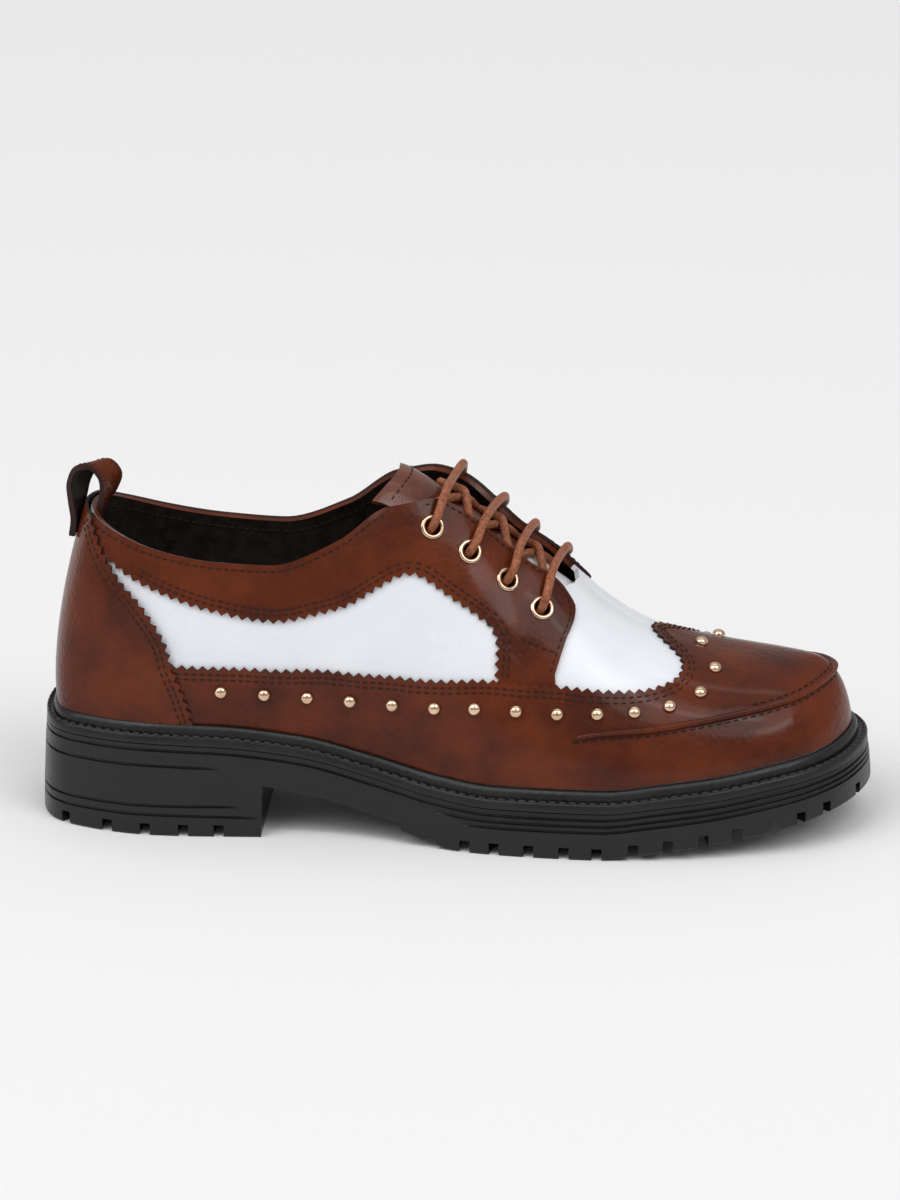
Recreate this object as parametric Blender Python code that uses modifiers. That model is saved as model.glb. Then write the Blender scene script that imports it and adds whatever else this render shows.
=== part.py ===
"""A studded two-tone derby shoe for the right foot: sole unit, welt, insole, upper, overlays, studs and laces.

The toe points to +X and the inner side of the foot is +Y. The floor is z = 0, and the origin is on the floor
under the middle of the heel. The upper is one surface, walked in two directions: round the shoe in stations,
from the back of the heel (0) along the outer side to the toe (16) and back along the inner side (32), and up
the wall from the feather edge (0) to the collar or the ridge (1). Every overlay is a region of that surface.
"""

import math

import bmesh
import bpy
import numpy as np
from mathutils import Matrix, Vector
from mathutils.geometry import delaunay_2d_cdt

# Driving sizes, in metres
SOLE_LENGTH = 0.280
BALL_WIDTH = 0.100
HEEL_WIDTH = 0.071
HEEL_CENTRE = 0.044
HEEL_HEIGHT = 0.0355
BALL_HEIGHT = 0.0192
TOE_RISE = 0.0113
TOE_SPRING = 0.0135
UPPER_HEIGHT = 0.106
HEEL_BREAST = 0.0765
WAIST_HEIGHT = 0.018
CLEARANCE = 0.0003

# The facings stand off the tongue by this much at the throat
FACING_LIFT = 0.0055

# Welt, insole and wall
WELT_INSET = 0.0013
WELT_THICKNESS = 0.0032
RIB_WIDTH = 0.0026
RIB_HEIGHT = 0.0034
FEATHER_INSET = 0.0078
WALL = 0.0018
LASTING_MARGIN = 0.009
INSOLE_THICKNESS = 0.003

# Outline of the sole on the ground: along in 280ths of SOLE_LENGTH, sides in 71sts of HEEL_WIDTH
HEEL_OUTLINE = (
    # along, outer side, inner side
    (0.0, 0.0, 0.0),
    (3.6, 19.0, 19.0),
    (15.5, 29.0, 28.8),
    (34.0, 35.0, 34.5),
    (56.0, 36.0, 34.5),
    (80.0, 35.0, 32.0),
)
# The same in front of the heel, sides in hundredths of BALL_WIDTH
FORE_OUTLINE = (
    # along, outer side, inner side
    (104.0, 35.5, 31.5),
    (127.0, 39.5, 35.5),
    (148.0, 45.0, 42.0),
    (169.0, 48.0, 47.5),
    (190.0, 49.3, 51.0),
    (211.0, 48.3, 51.5),
    (231.0, 45.0, 49.0),
    (250.0, 39.0, 43.5),
    (263.0, 31.5, 36.0),
    (274.0, 18.5, 24.5),
    (280.0, -3.0, 3.0),
)
# Top line of the upper at each station: collar behind, ridge of the instep and toe in front.
# Along as above, sides in hundredths of BALL_WIDTH, up in 106ths of UPPER_HEIGHT.
TOP_LINE = (
    # along, outer side, inner side, up
    (17.5, 0.0, 0.0, 106.0),
    (20.0, 12.0, 12.0, 105.0),
    (28.0, 19.5, 19.5, 101.5),
    (42.0, 24.0, 24.0, 97.0),
    (60.0, 25.5, 25.5, 94.0),
    (80.0, 25.0, 25.0, 93.0),
    (102.0, 22.0, 22.0, 101.0),
    (119.5, 18.0, 18.0, 112.0),
    (137.0, 6.0, 14.0, 110.7),
    (158.0, -4.0, 4.0, 96.0),
    (178.0, -4.0, 4.0, 81.8),
    (203.0, -3.0, 3.0, 65.6),
    (223.0, -3.0, 3.0, 58.6),
    (240.0, -3.0, 3.0, 56.0),
    (250.0, -3.0, 3.0, 55.3),
    (256.0, -3.0, 3.0, 55.0),
    (259.0, -3.0, 3.0, 54.8),
)
# Shape of the wall between feather edge and top line: bulge and lean in thousandths of SOLE_LENGTH,
# rise, reach and drop as shares of the wall's height and depth at the station
WALL_SHAPE = (
    # bulge, rise, lean, reach, drop
    (14.0, 0.30, 21.0, 0.0, 0.27),
    (14.0, 0.30, 21.0, 0.0, 0.27),
    (14.0, 0.30, 21.0, 0.0, 0.27),
    (16.0, 0.30, 21.0, 0.0, 0.28),
    (18.0, 0.32, 21.0, 0.0, 0.30),
    (18.0, 0.33, 23.0, 0.0, 0.30),
    (18.0, 0.36, 32.0, 0.0, 0.28),
    (18.0, 0.38, 36.0, 0.1, 0.20),
    (18.0, 0.40, 21.0, 0.3, 0.05),
    (16.0, 0.42, 0.0, 0.45, 0.0),
    (14.0, 0.45, 0.0, 0.50, 0.0),
    (14.0, 0.50, 0.0, 0.55, 0.0),
    (14.0, 0.58, 0.0, 0.60, 0.0),
    (12.0, 0.60, 0.0, 0.62, 0.0),
    (8.0, 0.57, 0.0, 0.62, 0.0),
    (5.0, 0.54, 0.0, 0.60, 0.0),
    (4.0, 0.52, 0.0, 0.60, 0.0),
)
# Height of the welt's outer edge over its height at the ball: shares of the heel's and the toe's extra height
WELT_RISE = (
    # along, share of heel, share of toe
    (0.0, 1.0, 0.0),
    (34.0, 1.0, 0.0),
    (60.0, 0.96, 0.0),
    (89.0, 0.767, 0.0),
    (115.0, 0.386, 0.0),
    (135.0, 0.117, 0.0),
    (155.0, 0.0, 0.0),
    (192.0, 0.0, 0.01),
    (211.0, 0.0, 0.20),
    (231.0, 0.0, 0.39),
    (250.0, 0.0, 0.64),
    (262.0, 0.0, 0.76),
    (273.0, 0.0, 0.88),
    (280.0, 0.0, 1.0),
)
# Toe spring of the tread, in shares of TOE_SPRING
TREAD_RISE = (
    # along, share
    (0.0, 0.0),
    (190.0, 0.0),
    (204.0, 0.133),
    (216.0, 0.237),
    (238.0, 0.474),
    (250.0, 0.607),
    (267.0, 0.844),
    (280.0, 1.0),
)

STATIONS = 32
SIDE_STATIONS = 16
COLUMNS = 64
COLUMN_STEP = STATIONS / COLUMNS
WALL_ROWS = 9

ALONG = SOLE_LENGTH / 280
BALL_SIDE = BALL_WIDTH / 100
HEEL_SIDE = HEEL_WIDTH / 71
UP = UPPER_HEIGHT / 106


def smooth_loop(points):
    """The closed curve through the points, as a function of the station, with even curvature."""
    points = np.asarray(points, float)
    ring = 4 * np.eye(len(points)) + np.roll(np.eye(len(points)), 1, 0) + np.roll(np.eye(len(points)), -1, 0)
    slopes = np.linalg.solve(ring, 3 * (np.roll(points, -1, 0) - np.roll(points, 1, 0)))
    return lambda station: between_stations(points, slopes, station)


def local_loop(points):
    """The closed curve through the points that never swings past a point where it turns."""
    points = np.asarray(points, float)
    ahead = np.roll(points, -1, 0) - points
    behind = points - np.roll(points, 1, 0)
    same_way = ahead * behind > 0
    total = np.where(same_way, ahead + behind, 1.0)
    slopes = np.where(same_way, 2 * ahead * behind / total, 0.0)
    return lambda station: between_stations(points, slopes, station)


def between_stations(points, slopes, station):
    station = np.asarray(station, float) % len(points)
    first = np.floor(station).astype(int) % len(points)
    second = (first + 1) % len(points)
    part = (station - np.floor(station))[..., None]
    start = points[first] * (1 + 2 * part) * (1 - part) ** 2 + slopes[first] * part * (1 - part) ** 2
    end = points[second] * part**2 * (3 - 2 * part) + slopes[second] * part**2 * (part - 1)
    return start + end


def height_curve(alongs, values):
    """A smooth function of x through the rows of a height table."""
    x = np.asarray(alongs, float) * ALONG
    y = np.asarray(values, float)
    steps = np.diff(y) / np.diff(x)
    slopes = np.zeros(len(x))
    same_way = steps[1:] * steps[:-1] > 0
    both = np.where(same_way, steps[1:] + steps[:-1], 1.0)
    slopes[1:-1] = np.where(same_way, 2 * steps[1:] * steps[:-1] / both, 0.0)
    slopes[-1] = steps[-1]

    def at(along):
        along = np.clip(along, x[0], x[-1])
        row = np.clip(np.searchsorted(x, along, side="right") - 1, 0, len(x) - 2)
        width = x[row + 1] - x[row]
        part = (along - x[row]) / width
        start = y[row] * (1 + 2 * part) * (1 - part) ** 2 + slopes[row] * width * part * (1 - part) ** 2
        end = y[row + 1] * part**2 * (3 - 2 * part) + slopes[row + 1] * width * part**2 * (part - 1)
        return start + end

    return at


def both_sides(outer_rows, inner_rows):
    """The rows of a station table as one loop: outer side to the toe, inner side back."""
    return list(outer_rows) + list(inner_rows[-2:0:-1])


welt_heel_share = height_curve([row[0] for row in WELT_RISE], [row[1] for row in WELT_RISE])
welt_toe_share = height_curve([row[0] for row in WELT_RISE], [row[2] for row in WELT_RISE])
tread_share = height_curve([row[0] for row in TREAD_RISE], [row[1] for row in TREAD_RISE])


def welt_height(along):
    """Height of the welt's outer edge above the floor."""
    heel = (HEEL_HEIGHT - BALL_HEIGHT) * welt_heel_share(along)
    return BALL_HEIGHT + heel + TOE_RISE * welt_toe_share(along)


def tread_height(along):
    """Height of the tread above the floor, without the waist's arch."""
    return TOE_SPRING * tread_share(along)


def outline_points():
    rows = [(along * ALONG, outer * HEEL_SIDE, inner * HEEL_SIDE) for along, outer, inner in HEEL_OUTLINE]
    rows += [(along * ALONG, outer * BALL_SIDE, inner * BALL_SIDE) for along, outer, inner in FORE_OUTLINE]
    outer_side = [(along, -outer) for along, outer, inner in rows]
    inner_side = [(along, inner) for along, outer, inner in rows]
    return both_sides(outer_side, inner_side)


ground_outline = smooth_loop(outline_points())


def outward(station):
    """The unit vector that points out of the outline, level with the floor."""
    step = 0.02
    run = ground_outline(np.asarray(station) + step) - ground_outline(np.asarray(station) - step)
    run /= np.linalg.norm(run, axis=-1, keepdims=True)
    return np.stack([run[..., 1], -run[..., 0]], -1)


def inset_outline(station, inset):
    return ground_outline(station) - outward(station) * np.asarray(inset)[..., None]


def top_points():
    outer_side = [(a * ALONG, -outer * BALL_SIDE, up * UP) for a, outer, inner, up in TOP_LINE]
    inner_side = [(a * ALONG, inner * BALL_SIDE, up * UP) for a, outer, inner, up in TOP_LINE]
    return both_sides(outer_side, inner_side)


top_line = local_loop(top_points())
wall_shape = smooth_loop(both_sides(WALL_SHAPE, WALL_SHAPE))


def wall_point(station, up):
    """The upper's outer surface: station round the shoe, up from the feather edge (0) to the top line (1)."""
    station, up = np.broadcast_arrays(np.asarray(station, float), np.asarray(up, float))
    plan = inset_outline(station, FEATHER_INSET)
    foot = np.concatenate([plan, (welt_height(plan[..., 0]) - WELT_THICKNESS)[..., None]], -1)
    top = top_line(station)
    shape = wall_shape(station)
    out = np.concatenate([outward(station), np.zeros(station.shape + (1,))], -1)
    bulge, rise, lean, reach, drop = (shape[..., k, None] for k in range(5))
    rises = np.array([0.0, 0.0, 1.0])
    height = (top - foot)[..., 2:]
    across = (foot - top) * np.array([1.0, 1.0, 0.0])
    low = foot + out * bulge * SOLE_LENGTH / 1000 + rises * rise * height
    high = top + out * lean * SOLE_LENGTH / 1000 + across * reach - rises * drop * height
    u = up[..., None]
    return foot * (1 - u) ** 3 + low * 3 * u * (1 - u) ** 2 + high * 3 * u**2 * (1 - u) + top * u**3


def smooth_step(value, start, end):
    part = np.clip((np.asarray(value, float) - start) / (end - start), 0.0, 1.0)
    return part * part * (3 - 2 * part)


def facing_lift(station, up):
    """How far the quarters stand off the vamp and the tongue, growing towards the throat."""
    side = np.minimum(station % STATIONS, STATIONS - station % STATIONS)
    beside_throat = smooth_step(side, 6.6, 7.8) * (1 - smooth_step(side, 9.3, 10.5))
    return FACING_LIFT * beside_throat * np.clip((up - 0.35) / 0.65, 0.0, 1.0) ** 2


def side_normal(station, up):
    """The unit vector that points out of one side of the upper."""
    step = 0.01
    up = np.minimum(up, 1 - 2 * step)
    round_shoe = wall_point(station + step, up) - wall_point(station - step, up)
    lower = np.clip(up - step, 0.0, 1.0)
    upper = np.clip(up + step, 0.0, 1.0)
    up_wall = wall_point(station, upper) - wall_point(station, lower)
    normal = np.cross(round_shoe, up_wall)
    return normal / np.linalg.norm(normal, axis=-1, keepdims=True)


def wall_normal(station, up):
    """The unit vector that points out of the upper, the same for both sides where they meet on the ridge."""
    here = side_normal(station, up)
    across = side_normal(STATIONS - station, up)
    side = np.minimum(station % STATIONS, STATIONS - station % STATIONS)
    shared = 0.5 * smooth_step(up, 0.9, 1.0) * smooth_step(side, 9.0, 9.9)
    normal = here + (across - here) * shared[..., None]
    return normal / np.linalg.norm(normal, axis=-1, keepdims=True)


def upper_point(station, up, off=0.0):
    """A point on the upper's outer surface with its facings lifted, and off metres outside it."""
    station, up = np.broadcast_arrays(np.asarray(station, float), np.asarray(up, float))
    away = facing_lift(station, up) + off
    return wall_point(station, up) + wall_normal(station, up) * np.asarray(away)[..., None]


# Overlay edges on the outer side, as (station, up) pairs; the inner side mirrors them
COUNTER_EDGE = (
    (0.98, 1.0),
    (1.21, 0.97),
    (1.76, 0.868),
    (2.34, 0.77),
    (2.77, 0.703),
    (3.13, 0.61),
    (3.34, 0.535),
    (3.5, 0.422),
    (3.72, 0.283),
    (3.9, 0.122),
)
BAND_EDGE = (
    (2.63, 0.807),
    (3.17, 0.78),
    (3.73, 0.75),
    (4.23, 0.725),
    (4.68, 0.705),
    (5.13, 0.698),
    (5.55, 0.695),
    (6.02, 0.688),
    (6.53, 0.685),
    (6.88, 0.69),
    (7.12, 0.7),
    (7.35, 0.687),
    (7.57, 0.645),
    (7.78, 0.597),
    (8.03, 0.55),
    (8.27, 0.517),
    (8.45, 0.495),
    (8.5, 0.465),
    (8.47, 0.4),
)
# Free edge of the facing, from the collar round the throat and down to the wing
OUTER_FACING_EDGE = (
    (7.2, 1.0),
    (7.53, 0.985),
    (7.83, 0.945),
    (8.37, 0.833),
    (9.1, 0.792),
    (9.69, 0.782),
    (9.86, 0.733),
    (9.84, 0.69),
    (9.61, 0.55),
    (9.4, 0.43),
)
INNER_FACING_EDGE = (
    (7.2, 1.0),
    (7.53, 0.99),
    (7.83, 0.965),
    (8.37, 0.9),
    (9.1, 0.86),
    (9.8, 0.845),
    (10.05, 0.8),
    (10.02, 0.73),
    (9.75, 0.57),
    (9.5, 0.43),
)
STAY_FOOT = (9.0, 0.395)
THROAT_END = ((9.95, 0.88), (10.1, 1.0))
WING_EDGE = (
    (3.55, 0.42),
    (5.42, 0.43),
    (6.85, 0.36),
    (8.22, 0.343),
    (9.32, 0.39),
    (10.26, 0.445),
    (10.71, 0.5),
    (11.09, 0.56),
    (11.37, 0.625),
    (11.5, 0.69),
    (11.5, 0.79),
    (11.37, 0.845),
    (11.18, 0.92),
    (11.1, 1.0),
)
APRON_LOW = ((9.6, 0.232), (11.3, 0.35), (12.63, 0.437), (13.96, 0.52), (15.3, 0.615), (16.0, 0.65))
APRON_HIGH = ((9.75, 0.262), (11.3, 0.39), (12.65, 0.483), (14.0, 0.575), (15.25, 0.665), (16.0, 0.7))
EYELETS = ((7.67, 0.833), (8.2, 0.715), (8.72, 0.667), (9.27, 0.635))
STUDS = (
    (4.29, 0.302),
    (4.91, 0.305),
    (5.51, 0.295),
    (6.12, 0.283),
    (6.75, 0.268),
    (7.41, 0.266),
    (8.06, 0.267),
    (8.72, 0.283),
    (9.39, 0.307),
    (10.05, 0.345),
    (10.64, 0.4),
    (11.22, 0.465),
    (11.77, 0.568),
    (12.09, 0.75),
)
CENTRE_STUD = (11.94, 0.985)
# Crest of the tongue from its free end to the vamp: up in 106ths of UPPER_HEIGHT; half width, arch
# radius and shift towards the inner side in hundredths of BALL_WIDTH
TONGUE_CREST = (
    # along, up, half width, arch radius, shift
    (121.0, 120.5, 17.4, 26.0, 0.2),
    (129.0, 117.0, 17.2, 25.0, 0.2),
    (137.0, 111.2, 16.8, 24.0, 0.3),
    (150.0, 101.4, 16.0, 23.0, 0.7),
    (163.0, 91.0, 12.6, 23.0, 1.0),
    (172.0, 83.8, 11.0, 25.0, 1.2),
    (180.0, 77.7, 10.0, 28.0, 1.5),
    (188.0, 72.2, 9.0, 32.0, 2.0),
)

OVERLAY = 0.0012
PANEL_GAP = 0.02
SEAM_HEIGHT = 0.0013
EYELET_BORE = 0.0025
EYELET_BARREL = 0.0029
EYELET_FLANGE = 0.00415
FLANGE_HEIGHT = 0.001
EYELET_CLEARANCE = 0.0007
EYELET_SEAT = 0.0007
WALL_HOLE_CLEARANCE = 0.0008
STUD_RADIUS = 0.0023
STUD_HEIGHT = 0.0019
LACE_RADIUS = 0.0015
TONGUE_THICKNESS = 0.003
TONGUE_SLANT = 0.008
STRAP_WIDTH = 0.010
STRAP_THICKNESS = 0.002
GROOVE_DEPTH = 0.0008
GROOVE_HALF = 0.0005
LUG_HEIGHT = 0.0042
SLOT_WIDTH = 0.0034
WAIST_STEP = 124.0
GROOVE_FADE = 3.0
INNER_EYELET_UP = 0.03
NOTCH_LENGTH = 0.016
FITTING_SPAN = (0.18, 0.04)
CROSSING_START = 0.0037
CROSSING_END = 0.0005
STRAP_SEAT = 0.0008

STATION_GAUGE = 0.020
WALL_GAUGE = 0.075


def new_material(name, colour, roughness, metallic=0.0):
    material = bpy.data.materials.new(name)
    material.use_nodes = True
    shader = material.node_tree.nodes["Principled BSDF"]
    shader.inputs["Base Color"].default_value = (*colour, 1.0)
    shader.inputs["Roughness"].default_value = roughness
    shader.inputs["Metallic"].default_value = metallic
    material.diffuse_color = (*colour, 1.0)
    return material


def add_object(name, mesh, collection, material=None):
    thing = bpy.data.objects.new(name, mesh)
    collection.objects.link(thing)
    if material and not mesh.materials:
        mesh.materials.append(material)
    return thing


def mesh_from(name, points, faces, weld=0.0):
    """A mesh in the shoe's frame: the points count along from the back of the sole."""
    mesh = bpy.data.meshes.new(name)
    points = np.asarray(points, float) - np.array([HEEL_CENTRE, 0.0, 0.0])
    mesh.from_pydata(points.tolist(), [], [list(face) for face in faces])
    if weld:
        shape = bmesh.new()
        shape.from_mesh(mesh)
        bmesh.ops.remove_doubles(shape, verts=shape.verts, dist=weld)
        shape.to_mesh(mesh)
        shape.free()
    mesh.shade_smooth()
    mesh.set_sharp_from_angle(angle=math.radians(35))
    return mesh


def inside(point, loop):
    hit = False
    for (x1, y1), (x2, y2) in zip(loop, loop[1:] + loop[:1]):
        if (y1 > point[1]) != (y2 > point[1]) and point[0] < (x2 - x1) * (point[1] - y1) / (y2 - y1) + x1:
            hit = not hit
    return hit


def facet_point(station, up, off):
    """A point on the flat triangles between the grid points of the surface that lies off metres outside."""
    column = np.floor(station / COLUMN_STEP)
    row = np.minimum(np.floor(up * WALL_ROWS), WALL_ROWS - 1)
    across = (station / COLUMN_STEP - column)[:, None]
    rise = (up * WALL_ROWS - row)[:, None]
    start = upper_point(column * COLUMN_STEP, row / WALL_ROWS, off)
    beside = upper_point((column + 1) * COLUMN_STEP, row / WALL_ROWS, off)
    above = upper_point(column * COLUMN_STEP, (row + 1) / WALL_ROWS, off)
    end = upper_point((column + 1) * COLUMN_STEP, (row + 1) / WALL_ROWS, off)
    turn = np.where(across > rise, beside, above)
    return start + np.maximum(across, rise) * (turn - start) + np.minimum(across, rise) * (end - turn)


def region_faces(outline, holes):
    """Triangles over a region of the wall, with corners on the upper's own grid lines."""
    loops = [[(s * STATION_GAUGE, u * WALL_GAUGE) for s, u in loop] for loop in [outline, *holes]]
    points, edges = [], []
    for loop in loops:
        start = len(points)
        points += loop
        edges += [(start + k, start + (k + 1) % len(loop)) for k in range(len(loop))]
    stations = [s for s, u in outline]
    first, last = math.floor(min(stations) / COLUMN_STEP), math.ceil(max(stations) / COLUMN_STEP)
    grid = {}
    for column in range(first, last + 1):
        for row in range(WALL_ROWS + 1):
            grid[column, row] = len(points)
            points.append((column * COLUMN_STEP * STATION_GAUGE, row / WALL_ROWS * WALL_GAUGE))
    for (column, row), index in grid.items():
        for beyond in ((column + 1, row), (column, row + 1), (column + 1, row + 1)):
            if beyond in grid:
                edges.append((index, grid[beyond]))
    flat, _, faces, *_ = delaunay_2d_cdt([Vector(p) for p in points], edges, [], 0, 1e-7)
    kept = []
    for face in faces:
        centre = sum((flat[k] for k in face), Vector((0, 0))) / len(face)
        if inside(centre, loops[0]) and not any(inside(centre, hole) for hole in loops[1:]):
            kept.append(list(face))
    used = sorted({k for face in kept for k in face})
    order = {k: n for n, k in enumerate(used)}
    station = np.array([flat[k][0] / STATION_GAUGE for k in used])
    up = np.clip(np.array([flat[k][1] / WALL_GAUGE for k in used]), 0.0, 1.0)
    return station, up, [[order[k] for k in face] for face in kept]


def add_region(name, outline, material, off=0.0, thickness=0.0, holes=(), rim=None):
    """A region of the upper's surface, off metres outside it, made solid outwards or, if negative, inwards."""
    station, up, faces = region_faces(outline, holes)
    points = facet_point(station, up, off)
    if rim is not None:
        rim_points, rim_faces = rim
        faces = faces + [[k + len(points) for k in face] for face in rim_faces]
        points = np.concatenate([points, rim_points])
    mesh = mesh_from(name, points, faces, weld=4e-5)
    thing = add_object(name, mesh, PARTS, material)
    solid = thing.modifiers.new("thickness", "SOLIDIFY")
    solid.thickness = abs(thickness)
    solid.offset = 1.0 if thickness > 0 else -1.0
    return thing


def mirrored(line):
    return [(STATIONS - station, up) for station, up in line]


def hole_round(station, up, radius):
    """The eight corners, in (station, up), of a hole that lies outside a circle of this radius."""
    radius = radius / math.cos(math.pi / 8)
    centre = upper_point(station, up)
    step = 0.01
    corners = []
    for turn in range(8):
        angle = math.pi * (turn + 0.5) / 4
        s, u = station, up
        for _ in range(4):
            here = upper_point(s, u)
            along = (upper_point(s + step, u) - here) / step
            rise = (upper_point(s, u + step) - here) / step
            if turn == 0 and _ == 0:
                first = along / np.linalg.norm(along)
                second = rise - first * np.dot(rise, first)
                second /= np.linalg.norm(second)
            target = centre + radius * (math.cos(angle) * first + math.sin(angle) * second)
            axes = np.array([first, second])
            move = np.linalg.solve(axes @ np.stack([along, rise], 1), axes @ (target - here))
            s, u = s + move[0], u + move[1]
        corners.append((s, u))
    return corners


def station_at(along, inner):
    """The station where the ground outline passes x = along."""
    stations = np.linspace(0.0, SIDE_STATIONS, 801)
    if inner:
        stations = STATIONS - stations
    found = np.abs(ground_outline(stations)[:, 0] - along).argmin()
    return stations[found]


def ring_stations():
    return np.arange(COLUMNS) * STATIONS / COLUMNS


def slab(name, rings, material, collection):
    """A closed body from level rings, top to bottom, each closed across by strips from side to side."""
    count = len(rings[0])
    points = np.concatenate(rings)
    faces = []
    for ring in range(len(rings) - 1):
        for k in range(count):
            after = (k + 1) % count
            top, low = ring * count, (ring + 1) * count
            faces.append((top + k, low + k, low + after, top + after))
    for start, flip in ((0, False), ((len(rings) - 1) * count, True)):
        for k in range(count // 2):
            strip = [start + k, start + k + 1, start + (count - k - 1) % count, start + (count - k) % count]
            strip = list(dict.fromkeys(strip))
            faces.append(strip[::-1] if flip else strip)
    return add_object(name, mesh_from(name, points, faces), collection, material)


def level_ring(inset, height_of):
    stations = ring_stations()
    plan = inset_outline(stations, inset)
    return np.concatenate([plan, height_of(plan[:, 0])[:, None]], -1)


def sole_top(along):
    return welt_height(along) - WELT_THICKNESS - CLEARANCE


# Side grooves of the sole unit: shares of the side's height below the welt, and where each one runs
SIDE_GROOVES = (
    # share at the heel, share at the ball, ends behind, starts in front
    (0.06, 0.12, 280.0, 0.0),
    (0.23, 0.26, 63.0, 137.0),
    (0.67, 0.39, 70.0, 146.0),
    (0.77, 0.8, 76.0, 280.0),
)
# Transverse slots of the tread, along in 280ths of SOLE_LENGTH
HEEL_SLOTS = (24.5, 37.6, 50.6, 62.5)
FORE_SLOTS = (134.4, 145.7, 167.2, 179.0, 202.2, 213.7, 236.6, 248.5)
EDGE_NOTCHES = (9.8, 155.7, 190.0, 225.5, 257.5, 266.0, 276.0)


def outsole_rings():
    stations = ring_stations()
    plan = ground_outline(stations)
    along = plan[:, 0]
    heel = welt_heel_share(along)
    side = sole_top(along) - tread_height(along)
    rings = [level_ring(np.full(COLUMNS, WELT_INSET), sole_top)]
    for heel_share, ball_share, behind, ahead in SIDE_GROOVES:
        share = ball_share + (heel_share - ball_share) * heel
        at_heel = 1 - smooth_step(along, (behind - GROOVE_FADE) * ALONG, behind * ALONG)
        at_ball = smooth_step(along, ahead * ALONG, (ahead + GROOVE_FADE) * ALONG)
        runs = np.maximum(at_heel, at_ball)
        for shift, deep in ((GROOVE_HALF, 0.0), (0.0, GROOVE_DEPTH), (-GROOVE_HALF, 0.0)):
            edge = inset_outline(stations, WELT_INSET * (1 - share) ** 2 + deep * runs)
            high = sole_top(along) - share * side + shift
            rings.append(np.concatenate([edge, high[:, None]], -1))
    rings.append(np.concatenate([plan, tread_height(along)[:, None]], -1))
    return rings


def box_cutter(name, centre, size, turn=0.0):
    bpy.ops.mesh.primitive_cube_add(size=1.0)
    box = bpy.context.object
    box.name = name
    box.scale = size
    box.rotation_euler = (0.0, 0.0, turn)
    box.location = (centre[0] - HEEL_CENTRE, centre[1], centre[2])
    return box


def joined_cutter(name, pieces):
    for thing in bpy.context.selected_objects:
        thing.select_set(False)
    for piece in pieces:
        piece.select_set(True)
    bpy.context.view_layer.objects.active = pieces[0]
    bpy.ops.object.join()
    cutter = bpy.context.object
    cutter.name = name
    return move_to_cutters(cutter)


def move_to_cutters(cutter):
    for collection in list(cutter.users_collection):
        collection.objects.unlink(cutter)
    CUTTERS.objects.link(cutter)
    cutter.hide_render = True
    cutter.display_type = "WIRE"
    return cutter


def cut(thing, cutter):
    boolean = thing.modifiers.new(cutter.name, "BOOLEAN")
    boolean.operation = "DIFFERENCE"
    boolean.object = cutter
    boolean.solver = "EXACT"
    return boolean


def waist_cutter():
    """The arch under the waist, as a side profile drawn straight through the sole."""
    profile = (
        # along, up in 180ths of WAIST_HEIGHT
        (HEEL_BREAST / ALONG, -30.0),
        (HEEL_BREAST / ALONG + 0.8, 180.0),
        (87.0, 167.0),
        (104.0, 125.0),
        (116.5, 89.0),
        (WAIST_STEP, 73.0),
        (WAIST_STEP + 0.3, 51.0),
        (136.0, 16.0),
        (147.5, -1.0),
        (150.0, -30.0),
    )
    up = WAIST_HEIGHT / 180
    near = [(along * ALONG, -BALL_WIDTH, high * up) for along, high in profile]
    far = [(along * ALONG, BALL_WIDTH, high * up) for along, high in profile]
    count = len(profile)
    faces = [list(range(count))[::-1], list(range(count, 2 * count))]
    faces += [(k, (k + 1) % count, (k + 1) % count + count, k + count) for k in range(count)]
    mesh = mesh_from("waist_cutter", near + far, faces)
    shape = bmesh.new()
    shape.from_mesh(mesh)
    bmesh.ops.recalc_face_normals(shape, faces=shape.faces)
    shape.to_mesh(mesh)
    shape.free()
    return move_to_cutters(add_object("waist_cutter", mesh, CUTTERS))


def tread_cutters():
    slots = []
    for along in HEEL_SLOTS + FORE_SLOTS:
        centre = (along * ALONG, 0.0, tread_height(along * ALONG) - 0.5 * LUG_HEIGHT)
        slots.append(box_cutter("slot", centre, (SLOT_WIDTH, 2 * BALL_WIDTH, 3 * LUG_HEIGHT)))
    for along in EDGE_NOTCHES:
        for inner in (False, True):
            station = station_at(along * ALONG, inner)
            plan, out = ground_outline(station), outward(station)
            turn = math.atan2(out[1], out[0])
            centre = (plan[0], plan[1], tread_height(plan[0]) - 0.5 * LUG_HEIGHT)
            slots.append(box_cutter("notch", centre, (NOTCH_LENGTH, SLOT_WIDTH, 3 * LUG_HEIGHT), turn))
    return joined_cutter("tread_cutter", slots)


def make_outsole():
    sole = slab("outsole", outsole_rings(), RUBBER, PARTS)
    cut(sole, waist_cutter())
    cut(sole, tread_cutters())


def wall_share_at(stations, heights):
    """How far up the wall each station reaches the given height."""
    shares = np.linspace(0.0, 0.6, 121)
    found = []
    for station, height in zip(stations, heights):
        wall = wall_point(np.full(shares.shape, station), shares)
        found.append(np.interp(height, wall[:, 2], shares))
    return np.array(found)


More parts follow.
